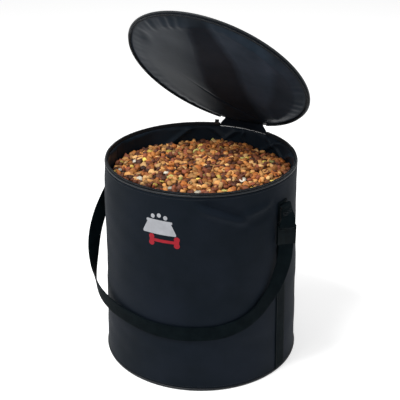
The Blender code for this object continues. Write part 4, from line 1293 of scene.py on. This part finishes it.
def turn_matrices(rng, count, lean):
    """Random spins about Z followed by random leans of up to the given angle."""
    spin = rng.uniform(0, 2 * math.pi, count)
    tilt = rng.normal(0, lean, count)
    way = rng.uniform(0, 2 * math.pi, count)
    axis = np.stack([np.cos(way), np.sin(way), 0 * way], -1)
    c, s = np.cos(tilt), np.sin(tilt)
    cross = np.zeros((count, 3, 3))
    cross[:, 0, 2], cross[:, 1, 2] = axis[:, 1], -axis[:, 0]
    cross[:, 2, 0], cross[:, 2, 1] = -axis[:, 1], axis[:, 0]
    leaned = (np.eye(3)[None] * c[:, None, None] + s[:, None, None] * cross
              + (1 - c)[:, None, None] * axis[:, :, None] * axis[:, None, :])
    spun = np.zeros((count, 3, 3))
    spun[:, 0, 0], spun[:, 0, 1], spun[:, 1, 0], spun[:, 1, 1], spun[:, 2, 2] = (
        np.cos(spin), -np.sin(spin), np.sin(spin), np.cos(spin), 1.0)
    return leaned @ spun


def build_food():
    rng = np.random.default_rng(11)
    places, shade = scatter_pellets(rng)
    count = len(places)
    kinds = rng.choice(5, count, p=[0.30, 0.44, 0.10, 0.08, 0.08])
    sizes = rng.uniform(0.0046, 0.0072, count)
    matrices = turn_matrices(rng, count, 0.75)
    tints = PELLET_COLOURS[rng.choice(len(PELLET_COLOURS), count, p=PELLET_SHARES / PELLET_SHARES.sum())]
    # Each pellet's tint changes at random, and the lower layer's is darkened as painted shade.
    tints = tints * rng.uniform(0.45, 1.40, (count, 1)) * shade[:, None]
    verts, faces, colours, used = [], [], [], 0
    for kind, (form, form_faces) in enumerate(pellet_forms()):
        pick = np.flatnonzero(kinds == kind)
        lumps = form[None] * rng.uniform(0.86, 1.12, (len(pick), len(form), 1))
        turned = np.einsum("nij,nkj->nki", matrices[pick], lumps * sizes[pick][:, None, None])
        turned = turned + places[pick][:, None]
        verts.append(turned.reshape(-1, 3))
        firsts = used + np.arange(len(pick))[:, None, None] * len(form)
        faces.append((form_faces[None] + firsts).reshape(-1, 3))
        colours.append(np.repeat(tints[pick], len(form), 0))
        used += len(pick) * len(form)
    mesh = bpy.data.meshes.new("pellets")
    mesh.from_pydata(np.vstack(verts).tolist(), [], [tuple(f) for f in np.vstack(faces).tolist()])
    tint = mesh.color_attributes.new("tint", "FLOAT_COLOR", "POINT")
    rgba = np.hstack([np.clip(np.vstack(colours), 0, 1), np.ones((used, 1))])
    tint.data.foreach_set("color", rgba.astype(np.float32).ravel())
    fix = bmesh.new()
    fix.from_mesh(mesh)
    bmesh.ops.recalc_face_normals(fix, faces=fix.faces)
    fix.to_mesh(mesh)
    fix.free()
    mesh.shade_smooth()
    baked = pellet_material()
    mesh.materials.append(baked)
    pellets = bpy.data.objects.new("pellets", mesh)
    bpy.context.collection.objects.link(pellets)
    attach(pellets, "bag")
    rings = np.linspace(0.02, 1.0, 40)
    foot, seat = 0.0059, LINING_SEAT + LINING_THICKNESS + 0.0006
    azimuth = 2 * math.pi * np.arange(160) / 160
    edge = float(taper(FILL_HEIGHT)) - seat - 0.0060
    x, y = edge * rings[None] * np.sin(azimuth)[:, None], -edge * rings[None] * np.cos(azimuth)[:, None]
    top = np.stack([x, y, mound(x, y) - 0.0062], -1)
    sides_z = np.array([0.30, 0.02, foot])
    sides_r = np.array([float(taper(0.30)) - seat - 0.0006, float(taper(0.02)) - seat - 0.0006,
                        BASE_RADIUS - seat - 0.005])
    sides = around(sides_r, azimuth[:, None], sides_z)
    points = np.concatenate([top, sides], 1)
    total = points.shape[1]
    # The bed is painted a near-black brown as the shade in the gaps between the pellets.
    painted_gap_shade = np.tile([0.05, 0.016, 0.008, 1.0], (160 * total, 1))
    caps = [tuple(range(0, 160 * total, total)), tuple(range(total - 1, 160 * total, total))]
    u = edge * np.linspace(0, 2 * math.pi, 161)
    bed = mesh_piece("pellet_bed", points, True, False, (u, run_length(points[0])), "bag",
                     baked, caps, painted_gap_shade)
    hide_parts("kibble_heap")
    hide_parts("kibble_heap")


build_food()
